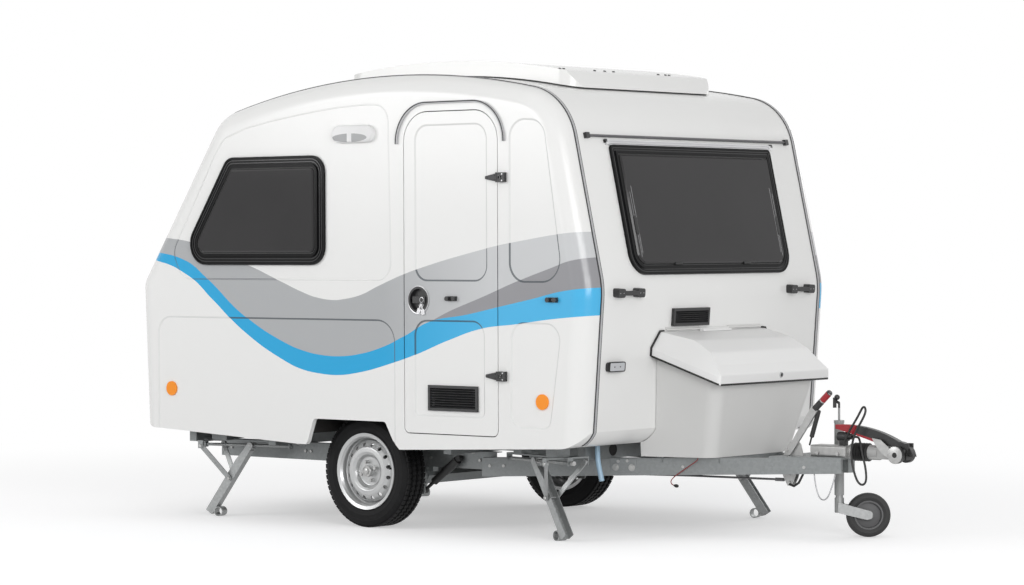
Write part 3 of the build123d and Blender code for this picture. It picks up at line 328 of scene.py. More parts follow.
def rounded(corners, steps=8, closed=True):
    """A flat outline from corners (u, v, radius), its corners turned into short runs round an arc."""
    spots = []
    count = len(corners)
    for k, (u, v, radius) in enumerate(corners):
        here = Vector((u, v))
        if not radius or (not closed and k in (0, count - 1)):
            spots.append(here)
            continue
        back = (Vector(corners[k - 1][:2]) - here).normalized()
        on = (Vector(corners[(k + 1) % count][:2]) - here).normalized()
        half = back.angle(on) / 2
        middle = here + (back + on).normalized() * (radius / math.sin(half))
        first = here + back * (radius / math.tan(half)) - middle
        turn = first.angle_signed(here + on * (radius / math.tan(half)) - middle)
        for s in range(steps + 1):
            a = -turn * s / steps
            spots.append(middle + Vector((first.x * math.cos(a) - first.y * math.sin(a),
                                          first.x * math.sin(a) + first.y * math.cos(a))))
    return spots


WINDOW_PANEL = [  # x, z, corner radius of the raised panel that holds the side window
    (-1.790, 1.277, 0.12), (-1.860, 1.420, 0.09), (-1.760, 1.575, 0), (-1.605, 1.824, 0), (-1.547, 1.920, 0),
    (-1.472, 2.016, 0.12), (-1.308, 2.068, 0), (-1.108, 2.103, 0), (-0.867, 2.135, 0), (-0.652, 2.157, 0),
    (-0.462, 2.166, 0), (-0.310, 2.160, 0.09), (-0.292, 1.277, 0.09)]
BEAD = [(0.0045, -0.001), (0.003, 0.0012), (0, 0.002), (-0.003, 0.0012), (-0.0045, -0.001)]
bm = bmesh.new()
for side in (-1, 1):
    swept(bm, [(u, side * WALL_Y, v) for u, v in rounded(WINDOW_PANEL)], BEAD, up=(0, side, 0), closed=True)
settle("window_panel_crease", bm, banded_gel_coat, smooth=80)

# ---------------------------------------------------------------- seams and rain gutter
# Grey plastic cover strips with dark rubber lips over the two joints of the mouldings, and a grey
# rain gutter bowed over the door.
SEAM_Y, STRIP_HALF = 0.918, 0.011
LIP_IN, LIP_OUT = 0.0042, 0.02          # the rubber lip, measured from the strip's edge
LIP_BLACK = (0.025, 0.025, 0.027, 1)
grey_strip = finish("grey_strip", (0.42, 0.42, 0.43), 0.3, grain=0.0002)
t = grey_strip.node_tree
from_middle = maths(t, "ABSOLUTE", own_place(grey_strip)["Y"])
from_seam = maths(t, "ABSOLUTE", maths(t, "SUBTRACT", from_middle, SEAM_Y))
lip = maths(t, "MULTIPLY", maths(t, "GREATER_THAN", from_seam, STRIP_HALF - LIP_IN),
            maths(t, "LESS_THAN", from_seam, STRIP_HALF + LIP_OUT))
over_painted(grey_strip, LIP_BLACK, lip)
paint(grey_strip, "trim_strips")

# ---------------------------------------------------------------- floor
# A plywood sandwich panel, sealed with black bitumen underneath. It carries the shell and is screwed to
# the chassis.
sealed_board = finish("sealed_board", (0.03, 0.028, 0.026), 0.75, mottle=0.25, mottle_size=0.12, grain=0.0012,
                      grain_size=0.012)
paint(sealed_board, "floor_panel")

# ---------------------------------------------------------------- windows
# Bulged double panes of dark acrylic, hung in black moulded frames with a rubber lip.
# The front one hangs from a fluted rail and has folding stays and catches inside its edges.
frame_black = finish("frame_black", (0.007, 0.007, 0.0075), 0.2, mottle=0.1, grain=0.0002, grain_size=0.003,
                     specular=0.12)
paint(frame_black, "window_frames")
tinted_acrylic = finish("tinted_acrylic", (0.026, 0.025, 0.026), 0.07, mottle=0.15, mottle_size=0.9,
                        specular=0.3)
paint(tinted_acrylic, "window_panes")
deep_black = finish("deep_black", (0.006, 0.006, 0.006), 0.5, grain=0.0002)
chrome = finish("chrome", (0.26, 0.26, 0.265), 0.22, metal=1.0, mottle=0.03)
anodised = finish("anodised", (0.62, 0.62, 0.63), 0.32, metal=0.75, mottle=0.03, grain=0.0001,
                  grain_size=0.003)

PANE_FACE = 0.026
FRONT_FOOT, FRONT_TOP = Vector((0.980, 0, 1.247)), Vector((0.770, 0, 2.180))
REAR_FOOT, REAR_TOP = Vector((-2.139, 0, 1.261)), Vector((-1.543, 0, 2.138))


def panel_frame(foot, top, outward):
    """The middle foot, the direction up and the direction out of a leaning end wall."""
    up = (top - foot).normalized()
    return foot, up, Vector((up.z, 0, -up.x)) * outward


def on_panel(panel, y, high, out):
    """A place on an end wall: sideways, up the wall and out from it."""
    foot, up, outward = panel
    return foot + Vector((0, y, 0)) + up * high + outward * out


front_panel = panel_frame(FRONT_FOOT, FRONT_TOP, 1)
rear_panel = panel_frame(REAR_FOOT, REAR_TOP, -1)

# corners of the window frames: along or across, up, and the corner's radius
SIDE_WINDOW = [(-1.437, 1.916, 0.08), (-0.741, 1.916, 0.09), (-0.741, 1.352, 0.095), (-1.812, 1.352, 0.112)]
FRONT_WINDOW = [(-0.676, 0.056, 0.112), (0.676, 0.056, 0.112), (0.676, 0.710, 0.024), (-0.676, 0.710, 0.024)]
REAR_WINDOW = [(-0.600, 0.160, 0.085), (0.600, 0.160, 0.085), (0.600, 0.690, 0.085), (-0.600, 0.690, 0.085)]


def drawn_in(corners, amount):
    """A convex outline moved inwards by amount, its corner radii made smaller to suit."""
    moved = []
    for k, (u, v, radius) in enumerate(corners):
        here = Vector((u, v))
        back, on = Vector(corners[k - 1][:2]) - here, Vector(corners[(k + 1) % len(corners)][:2]) - here
        half = back.angle(on) / 2
        inward = (back.normalized() + on.normalized()).normalized()
        here = here + inward * (amount / math.sin(half))
        moved.append((here.x, here.y, max(0.004, radius - amount)))
    return moved


def strip_section(half, low, high, face=None):
    """A strip's section: half its foot's width, where foot and face stand, and half its face's width."""
    face = face or half
    return [(half, low), (face, high), (-face, high), (-half, low)]


def round_section(radius, sides):
    """The section of a round bar, or a ring of places."""
    turns = [2 * math.pi * k / sides for k in range(sides)]
    return [(radius * math.cos(a), radius * math.sin(a)) for a in turns]


def round_windows(bm, section, step, side_edge, front_edge, rear_edge):
    """A strip round every window: how far it stands out, and how far inside each frame's edge it runs."""
    for side in (-1, 1):
        around = rounded(drawn_in(SIDE_WINDOW, side_edge))
        swept(bm, [(u, side * (WALL_Y + step), v) for u, v in around], section, up=(0, side, 0), closed=True)
    ends = ((front_panel, FRONT_WINDOW, front_edge), (rear_panel, REAR_WINDOW, rear_edge))
    for panel, outline, edge in ends:
        around = rounded(drawn_in(outline, edge))
        swept(bm, [on_panel(panel, u, v, step) for u, v in around], section, up=panel[2], closed=True)


SEAL_STEP, SEAL_EDGE, FRONT_SEAL_EDGE = 0.013, 0.061, 0.047
bm = bmesh.new()
round_windows(bm, strip_section(0.004, 0, 0.0025, face=0.003), SEAL_STEP, SEAL_EDGE, FRONT_SEAL_EDGE,
              SEAL_EDGE)
settle("pane_seals", bm, deep_black)
# the ribs are the frames' own black plastic, glossier and painted a little lighter than the frames as painted
# highlight
frame_gloss_highlight = finish("frame_gloss_highlight", (0.014, 0.014, 0.015), 0.13, mottle=0.1)
RIB_STEP, RIB_EDGES, END_SHARE = 0.009, (0.018, 0.032), 0.85
bm = bmesh.new()
for edge in RIB_EDGES:
    round_windows(bm, strip_section(0.0035, -0.001, 0.0036, face=0.0026), RIB_STEP, edge,
                  edge * END_SHARE, edge * END_SHARE)
settle("frame_ribs", bm, frame_gloss_highlight)

RAIL_HALF, RAIL_HIGH = 0.690, 0.7225
RAIL_FLUTES = [
    (-0.0135, 0), (-0.0135, 0.006), (-0.0125, 0.008), (-0.0070, 0.008), (-0.0062, 0.0055), (-0.0045, 0.0055),
    (-0.0037, 0.008), (0.0037, 0.008), (0.0045, 0.0055), (0.0062, 0.0055), (0.0070, 0.008), (0.0115, 0.008),
    (0.0130, 0.0095), (0.0135, 0.006), (0.0135, 0)]
rail_ends = [on_panel(front_panel, y, RAIL_HIGH, 0) for y in (-RAIL_HALF, RAIL_HALF)]
bm = bmesh.new()
swept(bm, rail_ends, RAIL_FLUTES, up=front_panel[2])
settle("window_rail", bm, anodised, smooth=25)


def block_at(bm, middle, axes, size, round_off, segments=2):
    """A block with rounded edges: its middle, its three directions and its size along each."""
    made = bmesh.ops.create_cube(bm, size=1)["verts"]
    turn = Matrix(axes).transposed().to_4x4()
    place = Matrix.Translation(middle) @ turn @ Matrix.Diagonal((*size, 1))
    bmesh.ops.transform(bm, matrix=place, verts=made)
    edges = [e for e in bm.edges if e.verts[0] in made]
    bmesh.ops.bevel(bm, geom=edges, offset=round_off, segments=segments, affect="EDGES")


FRONT_BLOCKS = [  # places sideways, height up the wall, wide, tall, where the foot and the face stand
    ((-RAIL_HALF - 0.009, RAIL_HALF + 0.009), 0.729, 0.020, 0.018, -0.001, 0.013),
    ((-0.601, 0.601), 0.300, 0.026, 0.085, PANE_FACE - 0.012, PANE_FACE + 0.003),
    ((-0.304, 0.278), 0.1085, 0.062, 0.014, PANE_FACE - 0.012, PANE_FACE - 0.001)]
bm = bmesh.new()
for places, high, wide, tall, low, top in FRONT_BLOCKS:
    for y in places:
        block_at(bm, on_panel(front_panel, y, high, (low + top) / 2), (Vector((0, 1, 0)), *front_panel[1:]),
                 (wide, tall, top - low), round_off=0.002)
settle("front_window_catches", bm, deep_black)
STAY_RADIUS = 0.0018
bm = bmesh.new()
for side in (-1, 1):
    for y, low, high in ((0.598, 0.142, 0.252), (0.604, 0.350, 0.470), (0.588, 0.160, 0.500)):
        ends = [on_panel(front_panel, side * y, h, PANE_FACE - 0.0005) for h in (low, high)]
        swept(bm, ends, round_section(STAY_RADIUS, 8), up=front_panel[2])
settle("front_window_stays", bm, chrome)

# ---------------------------------------------------------------- black fittings
# Hinges, catches, lock, vents and grab handles, moulded in black nylon with a fine matt grain and
# held by screws. The door lock has a bright key cylinder, with two keys on a ring.
moulded_black = finish("moulded_black", (0.02, 0.02, 0.021), 0.42, mottle=0.12, mottle_size=0.05,
                       grain=0.0003, grain_size=0.0015)
paint(moulded_black, "door_fittings", "wall_fittings", "door_lock", "door_vent", "front_vent", "grab_handles",
      "plate_holder", "tow_plug")
stainless = finish("stainless", (0.5, 0.5, 0.51), 0.3, metal=0.9, mottle=0.06, mottle_size=0.01)


def start_tree(name, mesh_label, sizes):
    """A Geometry Nodes tree whose named inputs are a mesh, its sizes and a finish."""
    made = bpy.data.node_groups.new(name, "GeometryNodeTree")
    made.interface.new_socket(mesh_label, in_out="INPUT", socket_type="NodeSocketGeometry")
    for label, kind, start in sizes:
        socket = made.interface.new_socket(label, in_out="INPUT", socket_type="NodeSocket" + kind)
        socket.default_value = start
    made.interface.new_socket("Finish", in_out="INPUT", socket_type="NodeSocketMaterial")
    made.interface.new_socket("Result", in_out="OUTPUT", socket_type="NodeSocketGeometry")
    return made, put(made, "NodeGroupInput").outputs


def end_tree(made, size, geometry):
    """Make the copies real, give them their finish and pass them out of the tree."""
    real = put(made, "GeometryNodeRealizeInstances", {"Geometry": geometry})
    coat = put(made, "GeometryNodeSetMaterial", {"Geometry": real.outputs[0], "Material": size["Finish"]})
    put(made, "NodeGroupOutput", {"Result": coat.outputs[0]})
    return made


def fastener_tree():
    """One screw, bolt or rivet head on every point, turned to the point's own direction."""
    made, size = start_tree("fasteners", "Points", [("Radius", "Float", 0.004), ("Height", "Float", 0.002),
                                                    ("Dome", "Float", 0.8), ("Sides", "Int", 12)])
    head = put(made, "GeometryNodeMeshCone", {
        "Vertices": size["Sides"], "Radius Bottom": size["Radius"], "Depth": size["Height"],
        "Radius Top": maths(made, "MULTIPLY", size["Radius"], size["Dome"])})
    direction = put(made, "GeometryNodeInputNamedAttribute", data_type="FLOAT_VECTOR")
    direction.inputs["Name"].default_value = "outward"
    turn = put(made, "FunctionNodeAlignRotationToVector", {"Vector": direction.outputs["Attribute"]},
               axis="Z")
    scatter = put(made, "GeometryNodeInstanceOnPoints", {
        "Points": size["Points"], "Instance": head.outputs["Mesh"], "Rotation": turn.outputs["Rotation"]})
    return end_tree(made, size, scatter.outputs["Instances"])


fastener_nodes = fastener_tree()


def grown(mesh, nodes_tree, inputs):
    """Run a Geometry Nodes tree on a mesh and give its result as one plain mesh."""
    seed = bpy.data.objects.new("seed", mesh)
    bpy.context.scene.collection.objects.link(seed)
    modifier = seed.modifiers.new("grow", "NODES")
    modifier.node_group = nodes_tree
    for item in nodes_tree.interface.items_tree:
        if item.in_out == "INPUT" and item.name in inputs:
            modifier[item.identifier] = inputs[item.name]
    deps = bpy.context.evaluated_depsgraph_get()
    result = bpy.data.meshes.new_from_object(seed.evaluated_get(deps))
    bpy.data.objects.remove(seed)
    return result


def fasteners(name, spots, radius, height, material, body="caravan_body", slot="galvanised", sides=12,
              dome=0.8):
    """Heads at (place, outward direction); hexagons when sides is 6."""
    mesh = bpy.data.meshes.new(name + "_spots")
    mesh.from_pydata([tuple(p) for p, _ in spots], [], [])
    outward = mesh.attributes.new("outward", "FLOAT_VECTOR", "POINT")
    outward.data.foreach_set("vector", [c for _, d in spots for c in d])
    heads = grown(mesh, fastener_nodes, {"Radius": radius, "Height": height, "Dome": dome, "Sides": sides,
                                         "Finish": material})
    return fitted(name, heads, body, smooth=30)


RIGHT = (0, -1, 0)
DOOR_OPENING = [(-0.207, 0.508, 0.035), (0.412, 0.508, 0.035), (0.412, 2.121, 0.155), (-0.207, 2.121, 0.155)]
bm = bmesh.new()
swept(bm, [(u, -1.006, v) for u, v in rounded(drawn_in(DOOR_OPENING, 0.0025))],
      strip_section(0.0022, -0.005, 0.005), up=RIGHT, closed=True)
settle("door_seal", bm, deep_black)
GUTTER_OUT, GUTTER_FOOT, GUTTER_Y = 0.0431, 1.960, -1.0358
front_bend, rear_bend = drawn_in(DOOR_OPENING, -GUTTER_OUT)[2:]
GUTTER_LINE = [(rear_bend[0], GUTTER_FOOT, 0), rear_bend, front_bend, (front_bend[0], GUTTER_FOOT, 0)]
bm = bmesh.new()
swept(bm, [(u, GUTTER_Y, v) for u, v in rounded(GUTTER_LINE, steps=14, closed=False)],
      strip_section(0.0028, -0.001, 0.0012), up=RIGHT)
settle("gutter_line", bm, deep_black)
HINGE_Z = (0.809, 1.783)
LEAF_SCREWS = ((0.352, 0), (0.398, 0.010), (0.398, -0.010))     # x, and height from the hinge's middle
leaf_screws = [((x, -1.0330, z + dz), RIGHT) for z in HINGE_Z for x, dz in LEAF_SCREWS]
fasteners("hinge_leaf_screws", leaf_screws, 0.0035, 0.0012, deep_black, body="door", slot="plastic_black")
block_screws = [((0.453, -1.0450, z + dz), RIGHT) for z in HINGE_Z for dz in (0.016, -0.016)]
fasteners("hinge_block_screws", block_screws, 0.004, 0.0012, stainless)
RETAINER_SCREW = (0.756, -1.0310, 1.186)
fasteners("retainer_screws", [(RETAINER_SCREW, RIGHT)], 0.0035, 0.0015, stainless)
GRAB_Y, GRAB_HALF, GRAB_FACE = 0.730, 0.078, 0.036
low_front_panel = panel_frame(Vector((0.897, 0, 0.200)), FRONT_FOOT, 1)
handle_spots = []
for wall, z in ((low_front_panel, 1.219), (rear_panel, 1.330)):
    high = (z - wall[0].z) / wall[1].z
    handle_spots += [(on_panel(wall, side * GRAB_Y + end * (GRAB_HALF + dy), high, GRAB_FACE), wall[2])
                     for side in (-1, 1) for end in (-1, 1) for dy in (-0.012, 0.014)]
fasteners("handle_screws", handle_spots, 0.0024, 0.001, stainless)


def lathe(bm, rings, start, toward, sides=24):
    """A turned form: rings of (distance along the axis, radius) from start towards a direction."""
    axis = Vector(toward).normalized()
    side = axis.orthogonal().normalized()
    other = axis.cross(side)
    loops = []
    for reach, radius in rings:
        centre = Vector(start) + axis * reach
        loops.append([bm.verts.new(centre + radius * (side * math.cos(a) + other * math.sin(a)))
                      for a in (2 * math.pi * k / sides for k in range(sides))])
    for low, high in zip(loops, loops[1:]):
        for k in range(sides):
            bm.faces.new((low[k], low[k - 1], high[k - 1], high[k]))
    if rings[0][1] and rings[-1] != rings[0]:
        bm.faces.new(loops[0])
    if rings[-1][1] and rings[-1] != rings[0]:
        bm.faces.new(list(reversed(loops[-1])))


LOCK_AT = Vector((-0.107, -1.025, 1.179))
CYLINDER_X, KEY_RING = 0.020, 0.013             # the key cylinder's place on the lock, and the ring's radius
bm = bmesh.new()
lathe(bm, [(-0.001, 0.0135), (0.004, 0.0135), (0.0045, 0.0115), (0.0035, 0.0105), (0.0035, 0.0)],
      LOCK_AT + Vector((CYLINDER_X, 0.002, 0)), RIGHT)
lathe(bm, [(0, 0.071), (0.0045, 0.071), (0.0052, 0.069), (0.0045, 0.0665), (0, 0.0665), (0, 0.071)],
      LOCK_AT, RIGHT, sides=48)
settle("lock_rings", bm, stainless, body="door")
bm = bmesh.new()
for tilt, long in ((-0.35, 0.050), (0.25, 0.056)):
    top = LOCK_AT + Vector((CYLINDER_X + 0.006 * tilt, -0.0045, -0.020))
    foot = top + Vector((math.sin(tilt) * long, -0.0015, -math.cos(tilt) * long))
    middle = top.lerp(foot, 0.5)
    for ends, half in (((top, middle), 0.0035), ((middle, foot), 0.011)):
        swept(bm, ends, strip_section(half, -0.001, 0.001), up=RIGHT)
ring_middle = LOCK_AT + Vector((CYLINDER_X, -0.0055, -0.028))
swept(bm, [ring_middle + Vector((u, 0, v)) for u, v in round_section(KEY_RING, 16)],
      round_section(0.001, 4), up=RIGHT, closed=True)
settle("lock_keys", bm, stainless, body="door")

# ---------------------------------------------------------------- roof opening
# A moulded upstand, a folded canvas skirt and a moulded lid over a rubber seal. Black caps close the
# screw holes along the lid's front edge.
upstand_plastic = finish("upstand_plastic", (0.7, 0.7, 0.69), 0.4, grain=0.0003)
paint(upstand_plastic, "roof_frame")
skirt_canvas = finish("skirt_canvas", (0.3, 0.31, 0.33), 0.85, mottle=0.1, grain=0.0006, grain_size=0.0012)
paint(skirt_canvas, "roof_canvas")
ROOF_CROWN = Vector((-0.287, 0, 2.3104))


def roof_z(x):
    """Height of the roof over a place along the caravan: one arc through its front, crown and rear."""
    (x1, z1), (x2, z2), (x3, z3) = FRONT_TOP.xz, ROOF_CROWN.xz, REAR_TOP.xz
    a1, b1, c1 = 2 * (x2 - x1), 2 * (z2 - z1), x2 * x2 - x1 * x1 + z2 * z2 - z1 * z1
    a2, b2, c2 = 2 * (x3 - x2), 2 * (z3 - z2), x3 * x3 - x2 * x2 + z3 * z3 - z2 * z2
    det = a1 * b2 - a2 * b1
    xc, zc = (c1 * b2 - c2 * b1) / det, (a1 * c2 - a2 * c1) / det
    return zc + math.sqrt((x1 - xc) ** 2 + (z1 - zc) ** 2 - (x - xc) ** 2)


LID_PLAN = [(-0.984, -0.605, 0.11), (0.551, -0.605, 0.11), (0.551, 0.605, 0.11), (-0.984, 0.605, 0.11)]
SEAL_IN, SEAL_PITCH, SEAL_HALF = 0.016, 0.08, 0.0045
outline = rounded(drawn_in(LID_PLAN, SEAL_IN))
seal_run = []
for first, second in zip(outline, outline[1:] + outline[:1]):
    pieces = max(1, int((second - first).length / SEAL_PITCH))
    seal_run += [first.lerp(second, k / pieces) for k in range(pieces)]
bm = bmesh.new()
swept(bm, [(u, v, roof_z(u) + SEAL_HALF) for u, v in seal_run], strip_section(0.006, -SEAL_HALF, SEAL_HALF),
      closed=True)
settle("lid_seal", bm, deep_black)
LID_CAP_Y = (-0.585, -0.555, -0.305, -0.223, -0.150, 0.227, 0.290, 0.321)
LID_CAP_X, LID_CAP_OVER = 0.450, 0.0815
cap_z = roof_z(LID_CAP_X) + LID_CAP_OVER
fasteners("lid_caps", [((LID_CAP_X, y, cap_z), (0.22, 0, 0.97)) for y in LID_CAP_Y], 0.0085, 0.007,
          moulded_black, body="roof_lid", slot="plastic_black", sides=10, dome=0.75)

# ---------------------------------------------------------------- gas locker
# A deep tub and a hinged lid of white moulding, a little greyer than the shell, the tub in painted shade. A
# black rubber seal runs round the lid's foot and up the wall beside it, and a cylinder lock shuts its front.
# painted shade: the tub is painted darker than the lid, which is the same white moulding
locker_white_shaded = finish("locker_white_shaded", (0.64, 0.64, 0.63), 0.42, mottle=0.01, grain=0.0003, grain_size=0.006)
paint(locker_white_shaded, "locker_tub")
lid_white_lit = finish("lid_white_lit", (0.77, 0.77, 0.765), 0.48, mottle=0.01, grain=0.0003, grain_size=0.006)
paint(lid_white_lit, "locker_lid")
LID_FOOT = [(0.957, -0.5072, 0), (1.3465, -0.4724, 0.020), (1.3465, 0.4724, 0.020), (0.957, 0.5072, 0)]
LID_FOOT_REAR, LID_FALL = (0.930, 0.911), 0.34615      # x and z behind, and the fall for each metre ahead
bm = bmesh.new()
swept(bm, [(u, v, LID_FOOT_REAR[1] - (u - LID_FOOT_REAR[0]) * LID_FALL)
           for u, v in rounded(LID_FOOT, closed=False)],
      [(0.0014, -0.003), (0.0014, 0.0065), (-0.0055, 0.0065), (-0.0055, -0.003)])
settle("lid_foot_seal", bm, deep_black, body="locker_lid")
bm = bmesh.new()
for side in (-1, 1):
    swept(bm, [(0.9575, side * 0.5105, 0.903), (0.9610, side * 0.5105, 0.944), (0.9640, side * 0.490, 0.972),
               (0.9675, side * 0.447, 1.0245), (0.9675, side * 0.415, 1.0265)],
          strip_section(0.0035, -0.004, 0.004), up=(1, 0, 0.08))
settle("lid_wall_seal", bm, deep_black)
LID_LOCK_AT, LID_LOCK_OUT = (1.3487, 0.045, 0.802), (1, 0, -0.08)
LID_LOCK = [  # name, rings, finish, slot
    ("lid_lock", [(-0.002, 0.0145), (0.003, 0.0145), (0.0042, 0.013), (0.0035, 0.0095), (0.0035, 0.0)],
     stainless, "cast_silver"),
    ("lid_lock_slot", [(0.0030, 0.0098), (0.0042, 0.0095), (0.0042, 0.0)], deep_black, "plastic_black")]
for name, lock_rings, material, slot in LID_LOCK:
    bm = bmesh.new()
    lathe(bm, lock_rings, LID_LOCK_AT, LID_LOCK_OUT)
    settle(name, bm, material, body="locker_lid")

# ---------------------------------------------------------------- chassis
# Folded steel sections bolted together, hot-dip galvanised: a dull grey with faint crystal spangle.
# The brake rod runs under the middle, from the axle to the bell crank behind the coupling.
galvanised = finish("galvanised", (0.255, 0.268, 0.27), 0.42, metal=0.5, mottle=0.07, spangle=0.012,
                    grain=0.0002, grain_size=0.01)
bright_zinc = finish("bright_zinc", (0.44, 0.44, 0.435), 0.34, metal=0.7, mottle=0.08, mottle_size=0.02,
                     grain=0.0001)
paint(galvanised, "chassis_frame", "drawbar", "axle_tube", "trailing_arms")


def hex_bolts(name, spots, radius, height, dome=1.0, **fit):
    """Plated bolts with six-sided heads."""
    return fasteners(name, spots, radius, height, bright_zinc, sides=6, dome=dome, **fit)


BEAM_NOSE = (1.773, 0.062)              # x, y of a drawbar beam's front end
BEAM_SPREAD, BEAM_TOP, BEAM_FALL = 0.628 / 1.753, 0.404, 0.0163


def beam_face(x, z, side=-1, out=0.0):
    """A place on the outer face of a drawbar beam, and its outward direction."""
    y = BEAM_NOSE[1] + (BEAM_NOSE[0] - x) * BEAM_SPREAD
    outward = Vector((BEAM_SPREAD, side, 0)).normalized()
    return Vector((x, side * y, z)) + outward * out, outward


PLATE_AT, PLATE_SIZE = (0.728, 0.352), (0.135, 0.068, 0.006)    # x, z; along, tall, thick
BOLT_DROP, FRAME_SIDE, FRAME_BOLT_Z = 0.040, 0.622, 0.356
UNDER_Y, UNDER_Z = 0.70, 0.4015
UPRIGHT = Vector((0, 0, 1))
bm = bmesh.new()
for side in (-1, 1):
    middle, outward = beam_face(*PLATE_AT, side, out=0.001)
    block_at(bm, middle, (outward.cross(UPRIGHT), UPRIGHT, outward), PLATE_SIZE, round_off=0.0015, segments=1)
settle("beam_plates", bm, galvanised)
beam_bolts = [beam_face(x, z, side, 0.004) for side in (-1, 1) for x, z in ((0.691, 0.343), (0.770, 0.342))]
fasteners("beam_washers", beam_bolts, 0.0175, 0.003, bright_zinc, sides=20, dome=0.96)
hex_bolts("beam_bolts", [(p + d * 0.003, d) for p, d in beam_bolts], 0.0115, 0.009)
small = [beam_face(x, z, side, 0.004) for side in (-1, 1) for x, z in ((0.704, 0.373), (0.749, 0.376))]
small += [beam_face(x, BEAM_TOP - BEAM_FALL * (BEAM_NOSE[0] - x) - BOLT_DROP, side)
          for side in (-1, 1) for x in (0.060, 0.130, 1.020, 1.600)]
small += [(Vector((x, side * FRAME_SIDE, FRAME_BOLT_Z)), (0, side, 0))
          for side in (-1, 1) for x in (-1.86, -1.82, -1.27, -1.23, -0.48, -0.38, -0.05, -0.01)]
hex_bolts("frame_bolts", small, 0.0085, 0.006)
under = [(Vector((x, side * UNDER_Y, UNDER_Z)), (0, 0, -1))
         for side in (-1, 1) for x in (-1.84, -1.25, -0.03)]
hex_bolts("frame_bolts_under", under, 0.0085, 0.006)
bm = bmesh.new()
HOLE_RIM = [(0.0, 0.031), (0.0015, 0.031), (0.0015, 0.025), (-0.0004, 0.025), (-0.0004, 0.0)]
for side in (-1, 1):
    lathe(bm, HOLE_RIM, (0.6655, side * 0.440, 0.4290), (1, 0, 0), sides=28)
settle("bearer_holes", bm, deep_black)

BRAKE_ROD = [(-0.40, -0.050, 0.262), (0.20, -0.050, 0.270), (0.86, -0.050, 0.284), (1.470, -0.050, 0.290)]
damper_steel = finish("damper_steel", (0.16, 0.16, 0.165), 0.45, metal=0.6, grain=0.0002)


def rod_between(bm, points, radius):
    """A round rod through places."""
    swept(bm, points, round_section(radius, 10))


bm = bmesh.new()
rod_between(bm, BRAKE_ROD, 0.0055)
lathe(bm, [(-0.05, 0.009), (0.0, 0.009), (0.0, 0.0055)], (1.43, -0.050, 0.2893), (1, 0, 0.01), sides=12)
rod_between(bm, [(-0.42, -0.30, 0.235), (-0.42, 0.30, 0.235)], 0.010)
rod_between(bm, [(-0.40, -0.050, 0.262), (-0.42, -0.050, 0.235)], 0.008)
for side in (-1, 1):
    rod_between(bm, [(-0.42, side * 0.29, 0.235), (-0.52, side * 0.48, 0.245), (-0.60, side * 0.658, 0.262)],
                0.0045)
settle("brake_rod", bm, damper_steel)


def sheet_part(bm, outline, y, thick):
    """A flat plate cut to an outline of x, z and standing across y."""
    first = [bm.verts.new((x, y - thick / 2, z)) for x, z in outline]
    second = [bm.verts.new((x, y + thick / 2, z)) for x, z in outline]
    bm.faces.new(first)
    bm.faces.new(list(reversed(second)))
    for k in range(len(outline)):
        bm.faces.new((first[k - 1], first[k], second[k], second[k - 1]))


CRANK_PLATE = [(1.420, 0.345), (1.520, 0.345), (1.505, 0.300), (1.485, 0.262), (1.462, 0.262), (1.440, 0.300)]
bm = bmesh.new()
for y in (-0.064, -0.036):
    sheet_part(bm, CRANK_PLATE, y, 0.004)
lathe(bm, [(0, 0.008), (0.046, 0.008)], (1.473, -0.073, 0.278), (0, 1, 0), sides=12)
lathe(bm, [(0, 0.010), (0.050, 0.010)], (1.470, -0.075, 0.322), (0, 1, 0), sides=12)
settle("brake_crank", bm, bright_zinc)
bm = bmesh.new()
rod_between(bm, [(1.476, -0.070, 0.270), (1.505, -0.072, 0.262), (1.535, -0.074, 0.280),
                 (1.560, -0.076, 0.320), (1.566, -0.078, 0.345)], 0.006)
settle("brake_conduit", bm, deep_black)

# ---------------------------------------------------------------- corner steadies
# Scissor legs of folded steel on a long screw. Turning the screw draws a nut along, and the strut and
# the leg fold up flat under the floor. The foot is a curled strap.
paint(galvanised, "steady_frames")
leg_zinc = finish("leg_zinc", (0.36, 0.37, 0.37), 0.4, metal=0.55, mottle=0.10, spangle=0.010, grain=0.0002)
STEADIES = {"rear_right": (-1.753, -0.840, 15), "rear_left": (-1.753, 0.840, -15),
            "front_right": (0.684, -0.840, 165), "front_left": (0.684, 0.840, 195)}
STEADY_Z = 0.385
paint(leg_zinc, *[f"steady_{part}_{c}" for part in ("strut", "leg") for c in STEADIES])
paint(bright_zinc, *[f"steady_nut_{c}" for c in STEADIES])


def thread_tree():
    """A screw thread wound along Z."""
    made, size = start_tree("screw_thread", "Mesh", [("Length", "Float", 0.4), ("Radius", "Float", 0.0078),
                                                     ("Turns", "Float", 70.0), ("Ridge", "Float", 0.0012)])
    coil = put(made, "GeometryNodeCurveSpiral", {
        "Resolution": 12, "Rotations": size["Turns"], "Start Radius": size["Radius"],
        "End Radius": size["Radius"], "Height": size["Length"]})
    ridge = put(made, "GeometryNodeCurvePrimitiveCircle", {"Resolution": 4, "Radius": size["Ridge"]})
    thread = put(made, "GeometryNodeCurveToMesh", {
        "Curve": coil.outputs["Curve"], "Profile Curve": ridge.outputs["Curve"], "Fill Caps": True})
    return end_tree(made, size, thread.outputs["Mesh"])


